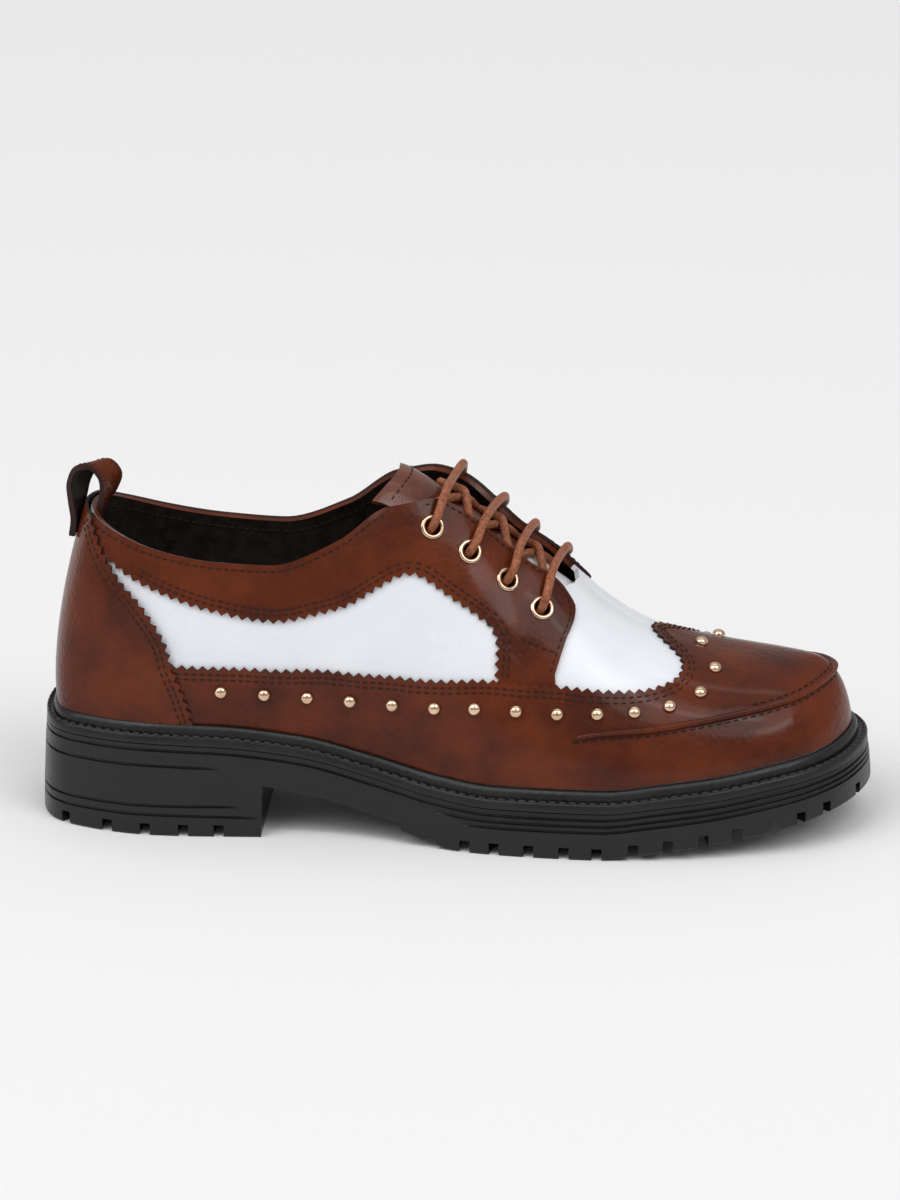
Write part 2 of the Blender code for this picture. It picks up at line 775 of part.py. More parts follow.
def make_welt():
    stations = ring_stations()
    plan = inset_outline(stations, np.full(COLUMNS, WELT_INSET))
    high = welt_height(plan[:, 0])
    out = np.concatenate([outward(stations), np.zeros((COLUMNS, 1))], -1)
    foot = wall_point(stations, np.zeros(COLUMNS)) + out * CLEARANCE
    rib_top = high + RIB_HEIGHT
    wall = wall_point(stations, wall_share_at(stations, rib_top)) + out * 1.3 * CLEARANCE
    shelf = wall + out * RIB_WIDTH

    def at(points, height):
        return np.concatenate([points[:, :2], height[:, None]], -1)

    section = [
        at(plan, high - WELT_THICKNESS),
        at(plan, high),
        at(shelf + out * 0.2 * RIB_WIDTH, high),
        at(shelf - out * 0.2 * RIB_WIDTH, rib_top),
        at(wall, rib_top),
        at(foot, high - WELT_THICKNESS),
    ]
    points = np.concatenate(section)
    faces = []
    for row in range(len(section)):
        low, top = row * COLUMNS, (row + 1) % len(section) * COLUMNS
        for k in range(COLUMNS):
            after = (k + 1) % COLUMNS
            faces.append((low + k, low + after, top + after, top + k))
    add_object("welt", mesh_from("welt", points, faces), PARTS, RUBBER)


def make_insole():
    inset = np.full(COLUMNS, FEATHER_INSET + WALL + 2 * CLEARANCE)
    low = -WELT_THICKNESS + WALL + 2 * CLEARANCE
    rings = [
        level_ring(inset, lambda along: welt_height(along) + low + INSOLE_THICKNESS),
        level_ring(inset, lambda along: welt_height(along) + low),
    ]
    slab("insole", rings, LINING, PARTS)


def lasting_margin():
    """The strip of the upper that is turned in under the insole."""
    stations = ring_stations()
    foot = wall_point(stations, np.zeros(COLUMNS))
    plan = inset_outline(stations, np.full(COLUMNS, FEATHER_INSET + LASTING_MARGIN))
    inner = np.concatenate([plan, (welt_height(plan[:, 0]) - WELT_THICKNESS)[:, None]], -1)
    faces = []
    for k in range(COLUMNS):
        after = (k + 1) % COLUMNS
        faces.append((after, k, k + COLUMNS, after + COLUMNS))
    return np.concatenate([foot, inner]), faces


def eyelet_places():
    for number, (station, up) in enumerate(EYELETS, 1):
        yield f"outer_{number}", station, up
        yield f"inner_{number}", STATIONS - station, up + INNER_EYELET_UP


def make_upper():
    radius = EYELET_BARREL + WALL_HOLE_CLEARANCE
    holes = [hole_round(station, up, radius) for _, station, up in eyelet_places()]
    outer_throat = list(OUTER_FACING_EDGE[:6]) + list(THROAT_END)
    inner_throat = list(INNER_FACING_EDGE[:6]) + list(THROAT_END)
    outline = [(0.0, 0.0), (float(STATIONS), 0.0), (float(STATIONS), 1.0)]
    outline += mirrored(inner_throat)
    outline += outer_throat[::-1]
    outline += [(0.0, 1.0)]
    add_region("upper", outline, WHITE, thickness=-WALL, holes=holes, rim=lasting_margin())


def hem_line(start, end):
    """The lower edge of an overlay, just above the rib of the welt, from station to station."""
    stations = np.linspace(start, end, int(2 * abs(end - start)) + 2)
    plan = inset_outline(stations, np.full(stations.shape, WELT_INSET))
    heights = welt_height(plan[:, 0]) + RIB_HEIGHT + OVERLAY
    return list(zip(stations, wall_share_at(stations, heights)))


def make_overlays():
    off = CLEARANCE
    seam = PANEL_GAP
    foot = COUNTER_EDGE[-1][0]
    counter = hem_line(-foot, foot)
    counter += list(COUNTER_EDGE[-2::-1]) + [(-s, u) for s, u in COUNTER_EDGE[:-1]]
    add_region("heel_counter", counter, BROWN, off, OVERLAY)
    back = [(s + seam, u) for s, u in COUNTER_EDGE[-2:-4:-1]]
    wing = hem_line(foot + seam, STATIONS - foot - seam)
    wing += mirrored(back) + mirrored(WING_EDGE) + list(WING_EDGE[::-1]) + back[::-1]
    add_region("wing", wing, BROWN, off, OVERLAY)
    for name, edge, flip in (("outer", OUTER_FACING_EDGE, False), ("inner", INNER_FACING_EDGE, True)):
        behind = [(s + seam, u) for s, u in COUNTER_EDGE[:4]]
        stay = behind + list(BAND_EDGE) + [STAY_FOOT] + list(edge[::-1])
        places = [(s, u) for side, s, u in eyelet_places() if side.startswith(name)]
        holes = [hole_round(s, u, EYELET_BARREL + EYELET_CLEARANCE) for s, u in places]
        if flip:
            stay = mirrored(stay)[::-1]
        add_region(f"eyestay_{name}", stay, BROWN, off, OVERLAY, holes)
    ridge = list(APRON_LOW) + mirrored(APRON_LOW)[-2::-1]
    ridge += mirrored(APRON_HIGH) + list(APRON_HIGH)[-2::-1]
    add_region("apron_seam", ridge, BROWN, 2 * CLEARANCE + OVERLAY, SEAM_HEIGHT)


tongue_alongs = [row[0] for row in TONGUE_CREST]
tongue_rows = [height_curve(tongue_alongs, [row[k] for row in TONGUE_CREST]) for k in (1, 2, 3, 4)]


def tongue_point(along, side):
    """The tongue's outer surface: side runs from -1 at its outer edge to 1 at its inner edge."""
    up, half, radius, shift = (rows(along) for rows in tongue_rows)
    half, radius = half * BALL_SIDE, radius * BALL_SIDE
    across = side * half
    drop = radius - np.sqrt(radius**2 - across**2)
    front = np.clip((along - TONGUE_CREST[0][0] * ALONG) / (0.14 * SOLE_LENGTH), 0.0, 1.0)
    x = along - TONGUE_SLANT * side**2 * (1 - front)
    return np.stack([x, shift * BALL_SIDE + across, up * UP - drop], -1)


def make_tongue():
    alongs = np.linspace(TONGUE_CREST[0][0] * ALONG, TONGUE_CREST[-1][0] * ALONG, 13)
    sides = np.linspace(-1.0, 1.0, 11)
    grid = tongue_point(*np.meshgrid(alongs, sides, indexing="ij"))
    rows, columns = grid.shape[:2]
    faces = []
    for row in range(rows - 1):
        for column in range(columns - 1):
            corner = row * columns + column
            faces.append((corner, corner + columns, corner + columns + 1, corner + 1))
    thing = add_object("tongue", mesh_from("tongue", grid.reshape(-1, 3), faces), PARTS, BROWN)
    solid = thing.modifiers.new("thickness", "SOLIDIFY")
    solid.thickness = TONGUE_THICKNESS
    solid.offset = -1.0


def frame_on_wall(station, up, off):
    """A matrix whose z points out of the upper, at off metres outside its facets."""
    across, rise = FITTING_SPAN
    stations = np.array([station, station - across, station + across, station, station])
    ups = np.array([up, up, up, up - rise, min(up + rise, 1.0)])
    place, before, after, lower, upper = facet_point(stations, ups, off)
    along = Vector(after - before).normalized()
    out = along.cross(Vector(upper - lower)).normalized()
    turn = Matrix((along, out.cross(along), out)).transposed().to_4x4()
    return Matrix.Translation(Vector(place - np.array([HEEL_CENTRE, 0.0, 0.0]))) @ turn


def make_eyelets():
    through = OVERLAY + WALL + CLEARANCE
    profile = (
        (EYELET_FLANGE, EYELET_SEAT),
        (EYELET_BARREL, EYELET_SEAT),
        (EYELET_BARREL, -through),
        (EYELET_BORE, -through),
        (EYELET_BORE + 0.0005, FLANGE_HEIGHT + EYELET_SEAT),
    )
    mesh = bpy.data.meshes.new("eyelet")
    ring = [(radius, 0.0, height) for radius, height in profile]
    mesh.from_pydata(ring, [(k, (k + 1) % len(ring)) for k in range(len(ring))], [])
    mesh.materials.append(BRASS)
    for side, station, up in eyelet_places():
        eyelet = add_object(f"eyelet_{side}", mesh, PARTS)
        eyelet.matrix_world = frame_on_wall(station, up, CLEARANCE + OVERLAY)
        turned = eyelet.modifiers.new("turned", "SCREW")
        turned.steps = turned.render_steps = 12
        turned.use_merge_vertices = True
        turned.merge_threshold = 0.00001


def make_studs():
    shape = bmesh.new()
    bmesh.ops.create_uvsphere(shape, u_segments=8, v_segments=4, radius=STUD_RADIUS)
    everything = shape.verts[:] + shape.edges[:] + shape.faces[:]
    bmesh.ops.bisect_plane(shape, geom=everything, plane_co=(0, 0, 0), plane_no=(0, 0, 1), clear_inner=True)
    bmesh.ops.holes_fill(shape, edges=shape.edges)
    bmesh.ops.scale(shape, vec=(1.0, 1.0, STUD_HEIGHT / STUD_RADIUS), verts=shape.verts)
    bmesh.ops.recalc_face_normals(shape, faces=shape.faces)
    mesh = bpy.data.meshes.new("stud")
    shape.to_mesh(mesh)
    shape.free()
    mesh.shade_smooth()
    mesh.set_sharp_from_angle(angle=math.radians(60))
    mesh.materials.append(BRASS)
    places = [(f"stud_outer_{n:02d}", s, u) for n, (s, u) in enumerate(STUDS, 1)]
    places += [(f"stud_inner_{n:02d}", STATIONS - s, u) for n, (s, u) in enumerate(STUDS, 1)]
    places += [("stud_centre", *CENTRE_STUD)]
    for name, station, up in places:
        stud = add_object(name, mesh, PARTS)
        stud.matrix_world = frame_on_wall(station, up, OVERLAY + 2 * CLEARANCE)


def smooth_path(points, count):
    """Evenly spaced places on the smooth curve through the points."""
    points = np.asarray(points, float)
    legs = np.concatenate([[0.0], np.cumsum(np.linalg.norm(np.diff(points, axis=0), axis=1))])
    slopes = np.gradient(points, legs, axis=0)
    path = []
    for place in np.linspace(0.0, legs[-1], count + 1):
        leg = min(np.searchsorted(legs, place, side="right") - 1, len(legs) - 2)
        width = legs[leg + 1] - legs[leg]
        t = (place - legs[leg]) / width
        start = points[leg] * (1 + 2 * t) * (1 - t) ** 2 + slopes[leg] * width * t * (1 - t) ** 2
        end = points[leg + 1] * t * t * (3 - 2 * t) + slopes[leg + 1] * width * t * t * (t - 1)
        path.append(start + end)
    return np.array(path)


def tube_through(name, points, radius):
    """A round cord along the smooth curve through the points."""
    length = np.linalg.norm(np.diff(points, axis=0), axis=1).sum()
    path = smooth_path(points, max(4, int(round(length / (4.0 * radius)))))
    curve = bpy.data.curves.new(name, "CURVE")
    curve.dimensions = "3D"
    curve.bevel_depth = radius
    curve.bevel_resolution = 1
    curve.use_fill_caps = True
    spline = curve.splines.new("POLY")
    spline.points.add(len(path) - 1)
    for bead, place in zip(spline.points, path):
        bead.co = (place[0] - HEEL_CENTRE, place[1], place[2], 1.0)
    return curve


def tube_mesh(name, points, radius):
    curve = bpy.data.objects.new(name, tube_through(name, points, radius))
    CUTTERS.objects.link(curve)
    bpy.context.view_layer.update()
    mesh = bpy.data.meshes.new_from_object(curve.evaluated_get(bpy.context.evaluated_depsgraph_get()))
    bpy.data.objects.remove(curve)
    shape = bmesh.new()
    shape.from_mesh(mesh)
    bmesh.ops.remove_doubles(shape, verts=shape.verts, dist=1e-5)
    bmesh.ops.recalc_face_normals(shape, faces=shape.faces)
    shape.to_mesh(mesh)
    shape.free()
    return mesh


def lace_bar_points(number):
    station, up = EYELETS[number]
    seat = OVERLAY + CLEARANCE + LACE_RADIUS
    over_eyelet = seat + EYELET_SEAT + FLANGE_HEIGHT + 3 * CLEARANCE
    over_edge = seat + 2 * CLEARANCE
    outer_edge = edge_share(OUTER_FACING_EDGE, station + 0.12)
    inner_edge = edge_share(INNER_FACING_EDGE, station + 0.12)
    start = upper_point(station, up, over_eyelet)
    near = upper_point(station + 0.1, outer_edge - 0.02, over_edge)
    far = upper_point(STATIONS - station - 0.1, inner_edge - 0.02, over_edge)
    end = upper_point(STATIONS - station, up + INNER_EYELET_UP, over_eyelet)
    arch = np.array([0.0, 0.0, LACE_RADIUS])
    rest = 0.25 * arch
    middle = 0.5 * (near + far) + arch
    return [start, 0.5 * (start + near) + rest, near, middle, far, 0.5 * (far + end) + rest, end]


def edge_share(edge, station):
    rows = [row for row in edge[:6]]
    return float(np.interp(station, [row[0] for row in rows], [row[1] for row in rows]))


def make_laces():
    for number in range(len(EYELETS)):
        name = f"lace_bar_{number + 1}"
        bar = bpy.data.objects.new(name, tube_through(name, lace_bar_points(number), LACE_RADIUS))
        bar.data.materials.append(CORD)
        PARTS.objects.link(bar)
    off = LACE_RADIUS + 1.3 * CLEARANCE
    for number in range(len(EYELETS) - 1):
        low = upper_point(*EYELETS[number])[0] + CROSSING_START
        high = upper_point(*EYELETS[number + 1])[0] - CROSSING_END
        tubes = []
        for start, end in ((low, high), (high, low)):
            points = []
            for part in np.linspace(0.0, 1.0, 5):
                along = start + (end - start) * part
                across = (2 * part - 1) * 0.0075
                half = tongue_rows[1](along) * BALL_SIDE
                side = across / half
                points.append(tongue_point(along, side) + tongue_out(along, side) * off)
            tubes.append(tube_mesh(f"lace_crossing_{number + 1}", points, LACE_RADIUS))
        crossing = add_object(f"lace_crossing_{number + 1}", tubes[0], PARTS, CORD)
        other = move_to_cutters(add_object(f"crossing_leg_{number + 1}", tubes[1], CUTTERS))
        union = crossing.modifiers.new("other leg", "BOOLEAN")
        union.operation = "UNION"
        union.object = other
        union.solver = "EXACT"


def tongue_out(along, side):
    step = 0.001
    run = tongue_point(along + step, side) - tongue_point(along - step, side)
    cross = tongue_point(along, side + step) - tongue_point(along, side - step)
    out = np.cross(run, cross)
    return out / np.linalg.norm(out)


# The folded strap: depth from the heel's outside (0) to its inside (1), up in 106ths of UPPER_HEIGHT
PULL_LOOP = (
    # depth, up, turn in degrees
    (0.0, 95.0, 0.0),
    (-0.05, 101.0, 8.0),
    (-0.22, 107.0, 22.0),
    (-0.12, 113.5, 38.0),
    (0.3, 118.3, 45.0),
    (0.9, 119.0, 45.0),
    (1.4, 115.5, 38.0),
    (1.35, 110.0, 22.0),
    (1.08, 105.0, 8.0),
    (1.0, 99.0, 0.0),
)


def make_pull_loop():
    """A strap folded over the top of the heel, its crown turned towards the outer side."""
    shares = np.linspace(0.5, 1.0, 101)
    heel = wall_point(np.zeros(shares.shape), shares)
    seat = CLEARANCE + 0.5 * STRAP_THICKNESS
    through = OVERLAY + CLEARANCE + WALL + 2 * seat + STRAP_SEAT
    centres, edges = [], []
    for depth, up, turn in PULL_LOOP:
        outside = np.interp(up * UP, heel[:, 2], heel[:, 0]) - OVERLAY - CLEARANCE - seat
        centre = np.array([outside + through * depth, 0.0, up * UP])
        turned = math.radians(turn)
        centres.append(centre)
        edges.append(centre + 0.5 * STRAP_WIDTH * np.array([math.sin(turned), math.cos(turned), 0.0]))
    count = 2 * len(PULL_LOOP)
    middle, edge = smooth_path(centres, count), smooth_path(edges, count)
    points = np.stack([2 * middle - edge, middle, edge], 1).reshape(-1, 3)
    faces = []
    for row in range(count):
        for corner in (3 * row, 3 * row + 1):
            faces.append((corner, corner + 1, corner + 4, corner + 3))
    thing = add_object("pull_loop", mesh_from("pull_loop", points, faces), PARTS, BROWN)
    solid = thing.modifiers.new("thickness", "SOLIDIFY")
    solid.thickness = STRAP_THICKNESS
    solid.offset = 0.0


for old in list(bpy.data.objects):
    bpy.data.objects.remove(old, do_unlink=True)
PARTS = bpy.data.collections.new("studded_shoe")
CUTTERS = bpy.data.collections.new("cutters")
bpy.context.scene.collection.children.link(PARTS)
bpy.context.scene.collection.children.link(CUTTERS)

RUBBER = new_material("black_rubber", (0.012, 0.012, 0.013), 0.45)
BROWN = new_material("brown_leather", (0.20, 0.055, 0.025), 0.3)
WHITE = new_material("white_leather", (0.82, 0.84, 0.88), 0.25)
LINING = new_material("dark_lining", (0.03, 0.02, 0.018), 0.8)
BRASS = new_material("pale_gold", (0.85, 0.66, 0.48), 0.2, 1.0)
CORD = new_material("waxed_cord", (0.30, 0.10, 0.04), 0.5)

make_outsole()
make_welt()
make_insole()
make_upper()
make_overlays()
make_tongue()
make_pull_loop()
make_eyelets()
make_studs()
make_laces()
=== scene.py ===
# %% [markdown]
# # Dressing a studded derby shoe
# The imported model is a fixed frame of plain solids. This lesson dresses it: the leather panels are cut again
# from the same last surface as the solids, but finer, with pinked edges, stitches, studs and a finish each.

# %% Load the frame
import math

import bmesh
import bpy
import numpy as np
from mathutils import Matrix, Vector
from mathutils.geometry import delaunay_2d_cdt


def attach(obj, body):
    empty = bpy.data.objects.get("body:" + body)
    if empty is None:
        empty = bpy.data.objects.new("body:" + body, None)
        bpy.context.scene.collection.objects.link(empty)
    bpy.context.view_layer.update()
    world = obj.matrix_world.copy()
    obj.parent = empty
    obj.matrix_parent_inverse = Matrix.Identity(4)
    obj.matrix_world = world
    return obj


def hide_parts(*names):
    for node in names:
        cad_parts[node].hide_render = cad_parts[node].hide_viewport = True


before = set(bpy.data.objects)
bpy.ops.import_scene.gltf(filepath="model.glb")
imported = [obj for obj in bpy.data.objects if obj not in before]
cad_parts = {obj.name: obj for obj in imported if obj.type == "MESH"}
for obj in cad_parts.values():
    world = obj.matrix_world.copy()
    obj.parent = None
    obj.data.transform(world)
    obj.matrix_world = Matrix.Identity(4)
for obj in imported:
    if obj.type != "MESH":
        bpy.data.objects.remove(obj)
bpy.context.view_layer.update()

# %% [markdown]
# ## The shoe's own sizes
# A shoemaker works from a last. These are the sizes and the section tables of that last, the same ones that
# the solids were drawn from, so every panel below lands where its solid is.

# %% Sizes and tables of the last
# Driving sizes, in metres
SOLE_LENGTH = 0.280
BALL_WIDTH = 0.100
HEEL_WIDTH = 0.071
HEEL_CENTRE = 0.044
HEEL_HEIGHT = 0.0355
BALL_HEIGHT = 0.0192
TOE_RISE = 0.0113
TOE_SPRING = 0.0135
UPPER_HEIGHT = 0.106
HEEL_BREAST = 0.0765
WAIST_HEIGHT = 0.018
CLEARANCE = 0.0003

# The facings stand off the tongue by this much at the throat
FACING_LIFT = 0.0055

# Welt and wall
WELT_INSET = 0.0013
WELT_THICKNESS = 0.0032
RIB_WIDTH = 0.0026
RIB_HEIGHT = 0.0034
FEATHER_INSET = 0.0078
WALL = 0.0018

# Outline of the sole on the ground: along in 280ths of SOLE_LENGTH, sides in 71sts of HEEL_WIDTH
HEEL_OUTLINE = (
    # along, outer side, inner side
    (0.0, 0.0, 0.0),
    (3.6, 19.0, 19.0),
    (15.5, 29.0, 28.8),
    (34.0, 35.0, 34.5),
    (56.0, 36.0, 34.5),
    (80.0, 35.0, 32.0),
)
# The same in front of the heel, sides in hundredths of BALL_WIDTH
FORE_OUTLINE = (
    # along, outer side, inner side
    (104.0, 35.5, 31.5),
    (127.0, 39.5, 35.5),
    (148.0, 45.0, 42.0),
    (169.0, 48.0, 47.5),
    (190.0, 49.3, 51.0),
    (211.0, 48.3, 51.5),
    (231.0, 45.0, 49.0),
    (250.0, 39.0, 43.5),
    (263.0, 31.5, 36.0),
    (274.0, 18.5, 24.5),
    (280.0, -3.0, 3.0),
)
# Top line of the upper at each station: collar behind, ridge of the instep and toe in front.
# Along as above, sides in hundredths of BALL_WIDTH, up in 106ths of UPPER_HEIGHT.
TOP_LINE = (
    # along, outer side, inner side, up
    (17.5, 0.0, 0.0, 106.0),
    (20.0, 12.0, 12.0, 105.0),
    (28.0, 19.5, 19.5, 101.5),
    (42.0, 24.0, 24.0, 97.0),
    (60.0, 25.5, 25.5, 94.0),
    (80.0, 25.0, 25.0, 93.0),
    (102.0, 22.0, 22.0, 101.0),
    (119.5, 18.0, 18.0, 112.0),
    (137.0, 6.0, 14.0, 110.7),
    (158.0, -4.0, 4.0, 96.0),
    (178.0, -4.0, 4.0, 81.8),
    (203.0, -3.0, 3.0, 65.6),
    (223.0, -3.0, 3.0, 58.6),
    (240.0, -3.0, 3.0, 56.0),
    (250.0, -3.0, 3.0, 55.3),
    (256.0, -3.0, 3.0, 55.0),
    (259.0, -3.0, 3.0, 54.8),
)
# Shape of the wall between feather edge and top line: bulge and lean in thousandths of SOLE_LENGTH,
# rise, reach and drop as shares of the wall's height and depth at the station
WALL_SHAPE = (
    # bulge, rise, lean, reach, drop
    (14.0, 0.30, 21.0, 0.0, 0.27),
    (14.0, 0.30, 21.0, 0.0, 0.27),
    (14.0, 0.30, 21.0, 0.0, 0.27),
    (16.0, 0.30, 21.0, 0.0, 0.28),
    (18.0, 0.32, 21.0, 0.0, 0.30),
    (18.0, 0.33, 23.0, 0.0, 0.30),
    (18.0, 0.36, 32.0, 0.0, 0.28),
    (18.0, 0.38, 36.0, 0.1, 0.20),
    (18.0, 0.40, 21.0, 0.3, 0.05),
    (16.0, 0.42, 0.0, 0.45, 0.0),
    (14.0, 0.45, 0.0, 0.50, 0.0),
    (14.0, 0.50, 0.0, 0.55, 0.0),
    (14.0, 0.58, 0.0, 0.60, 0.0),
    (12.0, 0.60, 0.0, 0.62, 0.0),
    (8.0, 0.57, 0.0, 0.62, 0.0),
    (5.0, 0.54, 0.0, 0.60, 0.0),
    (4.0, 0.52, 0.0, 0.60, 0.0),
)
# Height of the welt's outer edge over its height at the ball: shares of the heel's and the toe's extra height
WELT_RISE = (
    # along, share of heel, share of toe
    (0.0, 1.0, 0.0),
    (34.0, 1.0, 0.0),
    (60.0, 0.96, 0.0),
    (89.0, 0.767, 0.0),
    (115.0, 0.386, 0.0),
    (135.0, 0.117, 0.0),
    (155.0, 0.0, 0.0),
    (192.0, 0.0, 0.01),
    (211.0, 0.0, 0.20),
    (231.0, 0.0, 0.39),
    (250.0, 0.0, 0.64),
    (262.0, 0.0, 0.76),
    (273.0, 0.0, 0.88),
    (280.0, 0.0, 1.0),
)
# Toe spring of the tread, in shares of TOE_SPRING
TREAD_RISE = (
    # along, share
    (0.0, 0.0),
    (190.0, 0.0),
    (204.0, 0.133),
    (216.0, 0.237),
    (238.0, 0.474),
    (250.0, 0.607),
    (267.0, 0.844),
    (280.0, 1.0),
)

STATIONS = 32
SIDE_STATIONS = 16

ALONG = SOLE_LENGTH / 280
BALL_SIDE = BALL_WIDTH / 100
HEEL_SIDE = HEEL_WIDTH / 71
UP = UPPER_HEIGHT / 106

# %% [markdown]
# ## The last as a function
# Panels are cut from one smooth surface. A station says how far round the shoe a place is and a share says how
# far up the wall. Reading the surface from curves keeps every layer parallel to the next.

# %% Curves through the tables
def unit(vectors):
    """The vectors at length one, along their last axis."""
    return vectors / np.linalg.norm(vectors, axis=-1, keepdims=True)


def between(start, end, leave, arrive, part):
    """The smooth curve from start to end with slopes leave and arrive, read part of the way along."""
    first = start * (1 + 2 * part) * (1 - part) ** 2 + leave * part * (1 - part) ** 2
    return first + end * part**2 * (3 - 2 * part) + arrive * part**2 * (part - 1)


def smooth_loop(points):
    """The closed curve through the points, as a function of the station, with even curvature."""
    points = np.asarray(points, float)
    one = np.eye(len(points))
    ring = 4 * one + np.roll(one, 1, 0) + np.roll(one, -1, 0)
    slopes = np.linalg.solve(ring, 3 * (np.roll(points, -1, 0) - np.roll(points, 1, 0)))
    return lambda station: between_stations(points, slopes, station)


def local_loop(points):
    """The closed curve through the points that never swings past a point where it turns."""
    points = np.asarray(points, float)
    ahead = np.roll(points, -1, 0) - points
    behind = points - np.roll(points, 1, 0)
    same_way = ahead * behind > 0
    total = np.where(same_way, ahead + behind, 1.0)
    slopes = np.where(same_way, 2 * ahead * behind / total, 0.0)
    return lambda station: between_stations(points, slopes, station)


def between_stations(points, slopes, station):
    station = np.asarray(station, float) % len(points)
    first = np.floor(station).astype(int) % len(points)
    second = (first + 1) % len(points)
    part = (station - np.floor(station))[..., None]
    return between(points[first], points[second], slopes[first], slopes[second], part)


def height_curve(alongs, values):
    """A smooth function of x through the rows of a height table."""
    x = np.asarray(alongs, float) * ALONG
    y = np.asarray(values, float)
    steps = np.diff(y) / np.diff(x)
    slopes = np.zeros(len(x))
    same_way = steps[1:] * steps[:-1] > 0
    both = np.where(same_way, steps[1:] + steps[:-1], 1.0)
    slopes[1:-1] = np.where(same_way, 2 * steps[1:] * steps[:-1] / both, 0.0)
    slopes[-1] = steps[-1]

    def at(along):
        along = np.clip(along, x[0], x[-1])
        row = np.clip(np.searchsorted(x, along, side="right") - 1, 0, len(x) - 2)
        width = x[row + 1] - x[row]
        part = (along - x[row]) / width
        return between(y[row], y[row + 1], slopes[row] * width, slopes[row + 1] * width, part)

    return at


def both_sides(outer_rows, inner_rows):
    """The rows of a station table as one loop: outer side to the toe, inner side back."""
    return list(outer_rows) + list(inner_rows[-2:0:-1])


print("tables of the last:", len(TOP_LINE), "sections a side,", STATIONS, "stations")

# %% [markdown]
# ## The wall of the upper
# The leather leaves the welt, bulges out and leans in to the top line. One cubic curve per station gives that
# wall. Sculpting it would be quicker to see and slower to repeat, and the panels could not be laid on it exactly.

# %% The surface of the upper
welt_heel_share = height_curve([row[0] for row in WELT_RISE], [row[1] for row in WELT_RISE])
welt_toe_share = height_curve([row[0] for row in WELT_RISE], [row[2] for row in WELT_RISE])
tread_share = height_curve([row[0] for row in TREAD_RISE], [row[1] for row in TREAD_RISE])


def welt_height(along):
    """Height of the welt's outer edge above the floor."""
    heel = (HEEL_HEIGHT - BALL_HEIGHT) * welt_heel_share(along)
    return BALL_HEIGHT + heel + TOE_RISE * welt_toe_share(along)


def tread_height(along):
    """Height of the tread above the floor, without the waist's arch."""
    return TOE_SPRING * tread_share(along)


def outline_points():
    rows = [(along * ALONG, outer * HEEL_SIDE, inner * HEEL_SIDE) for along, outer, inner in HEEL_OUTLINE]
    rows += [(along * ALONG, outer * BALL_SIDE, inner * BALL_SIDE) for along, outer, inner in FORE_OUTLINE]
    outer_side = [(along, -outer) for along, outer, inner in rows]
    inner_side = [(along, inner) for along, outer, inner in rows]
    return both_sides(outer_side, inner_side)


ground_outline = smooth_loop(outline_points())


def outward(station):
    """The unit vector that points out of the outline, level with the floor."""
    step = 0.02
    run = unit(ground_outline(np.asarray(station) + step) - ground_outline(np.asarray(station) - step))
    return np.stack([run[..., 1], -run[..., 0]], -1)


def inset_outline(station, inset):
    return ground_outline(station) - outward(station) * np.asarray(inset)[..., None]


def top_points():
    outer_side = [(a * ALONG, -outer * BALL_SIDE, up * UP) for a, outer, inner, up in TOP_LINE]
    inner_side = [(a * ALONG, inner * BALL_SIDE, up * UP) for a, outer, inner, up in TOP_LINE]
    return both_sides(outer_side, inner_side)


top_line = local_loop(top_points())
wall_shape = smooth_loop(both_sides(WALL_SHAPE, WALL_SHAPE))


def wall_point(station, up):
    """The upper's outer surface: station round the shoe, up from the feather edge (0) to the top line (1)."""
    station, up = np.broadcast_arrays(np.asarray(station, float), np.asarray(up, float))
    plan = inset_outline(station, FEATHER_INSET)
    foot = np.concatenate([plan, (welt_height(plan[..., 0]) - WELT_THICKNESS)[..., None]], -1)
    top = top_line(station)
    shape = wall_shape(station)
    out = np.concatenate([outward(station), np.zeros(station.shape + (1,))], -1)
    bulge, rise, lean, reach, drop = (shape[..., k, None] for k in range(5))
    rises = np.array([0.0, 0.0, 1.0])
    height = (top - foot)[..., 2:]
    across = (foot - top) * np.array([1.0, 1.0, 0.0])
    low = foot + out * bulge * SOLE_LENGTH / 1000 + rises * rise * height
    high = top + out * lean * SOLE_LENGTH / 1000 + across * reach - rises * drop * height
    u = up[..., None]
    return foot * (1 - u) ** 3 + low * 3 * u * (1 - u) ** 2 + high * 3 * u**2 * (1 - u) + top * u**3


def smooth_step(value, start, end):
    part = np.clip((np.asarray(value, float) - start) / (end - start), 0.0, 1.0)
    return part * part * (3 - 2 * part)


# The facings' lift grows and ends over these stations, and starts this far up the wall
LIFT_GROWS, LIFT_ENDS, LIFT_FROM = (6.6, 7.8), (9.3, 10.5), 0.35


def from_heel(station):
    """Stations between a place and the middle of the heel, the same on both sides."""
    return np.minimum(station % STATIONS, STATIONS - station % STATIONS)


def facing_lift(station, up):
    """How far the quarters stand off the vamp and the tongue, growing towards the throat."""
    side = from_heel(station)
    beside_throat = smooth_step(side, *LIFT_GROWS) * (1 - smooth_step(side, *LIFT_ENDS))
    return FACING_LIFT * beside_throat * np.clip((up - LIFT_FROM) / (1.0 - LIFT_FROM), 0.0, 1.0) ** 2


def side_normal(station, up):
    """The unit vector that points out of one side of the upper."""
    step = 0.01
    up = np.minimum(up, 1 - 2 * step)
    round_shoe = wall_point(station + step, up) - wall_point(station - step, up)
    lower = np.clip(up - step, 0.0, 1.0)
    upper = np.clip(up + step, 0.0, 1.0)
    up_wall = wall_point(station, upper) - wall_point(station, lower)
    return unit(np.cross(round_shoe, up_wall))


# Both sides share one normal near the ridge, from these shares of the wall and these stations on
RIDGE_SHARES, RIDGE_STATIONS = (0.9, 1.0), (9.0, 9.9)


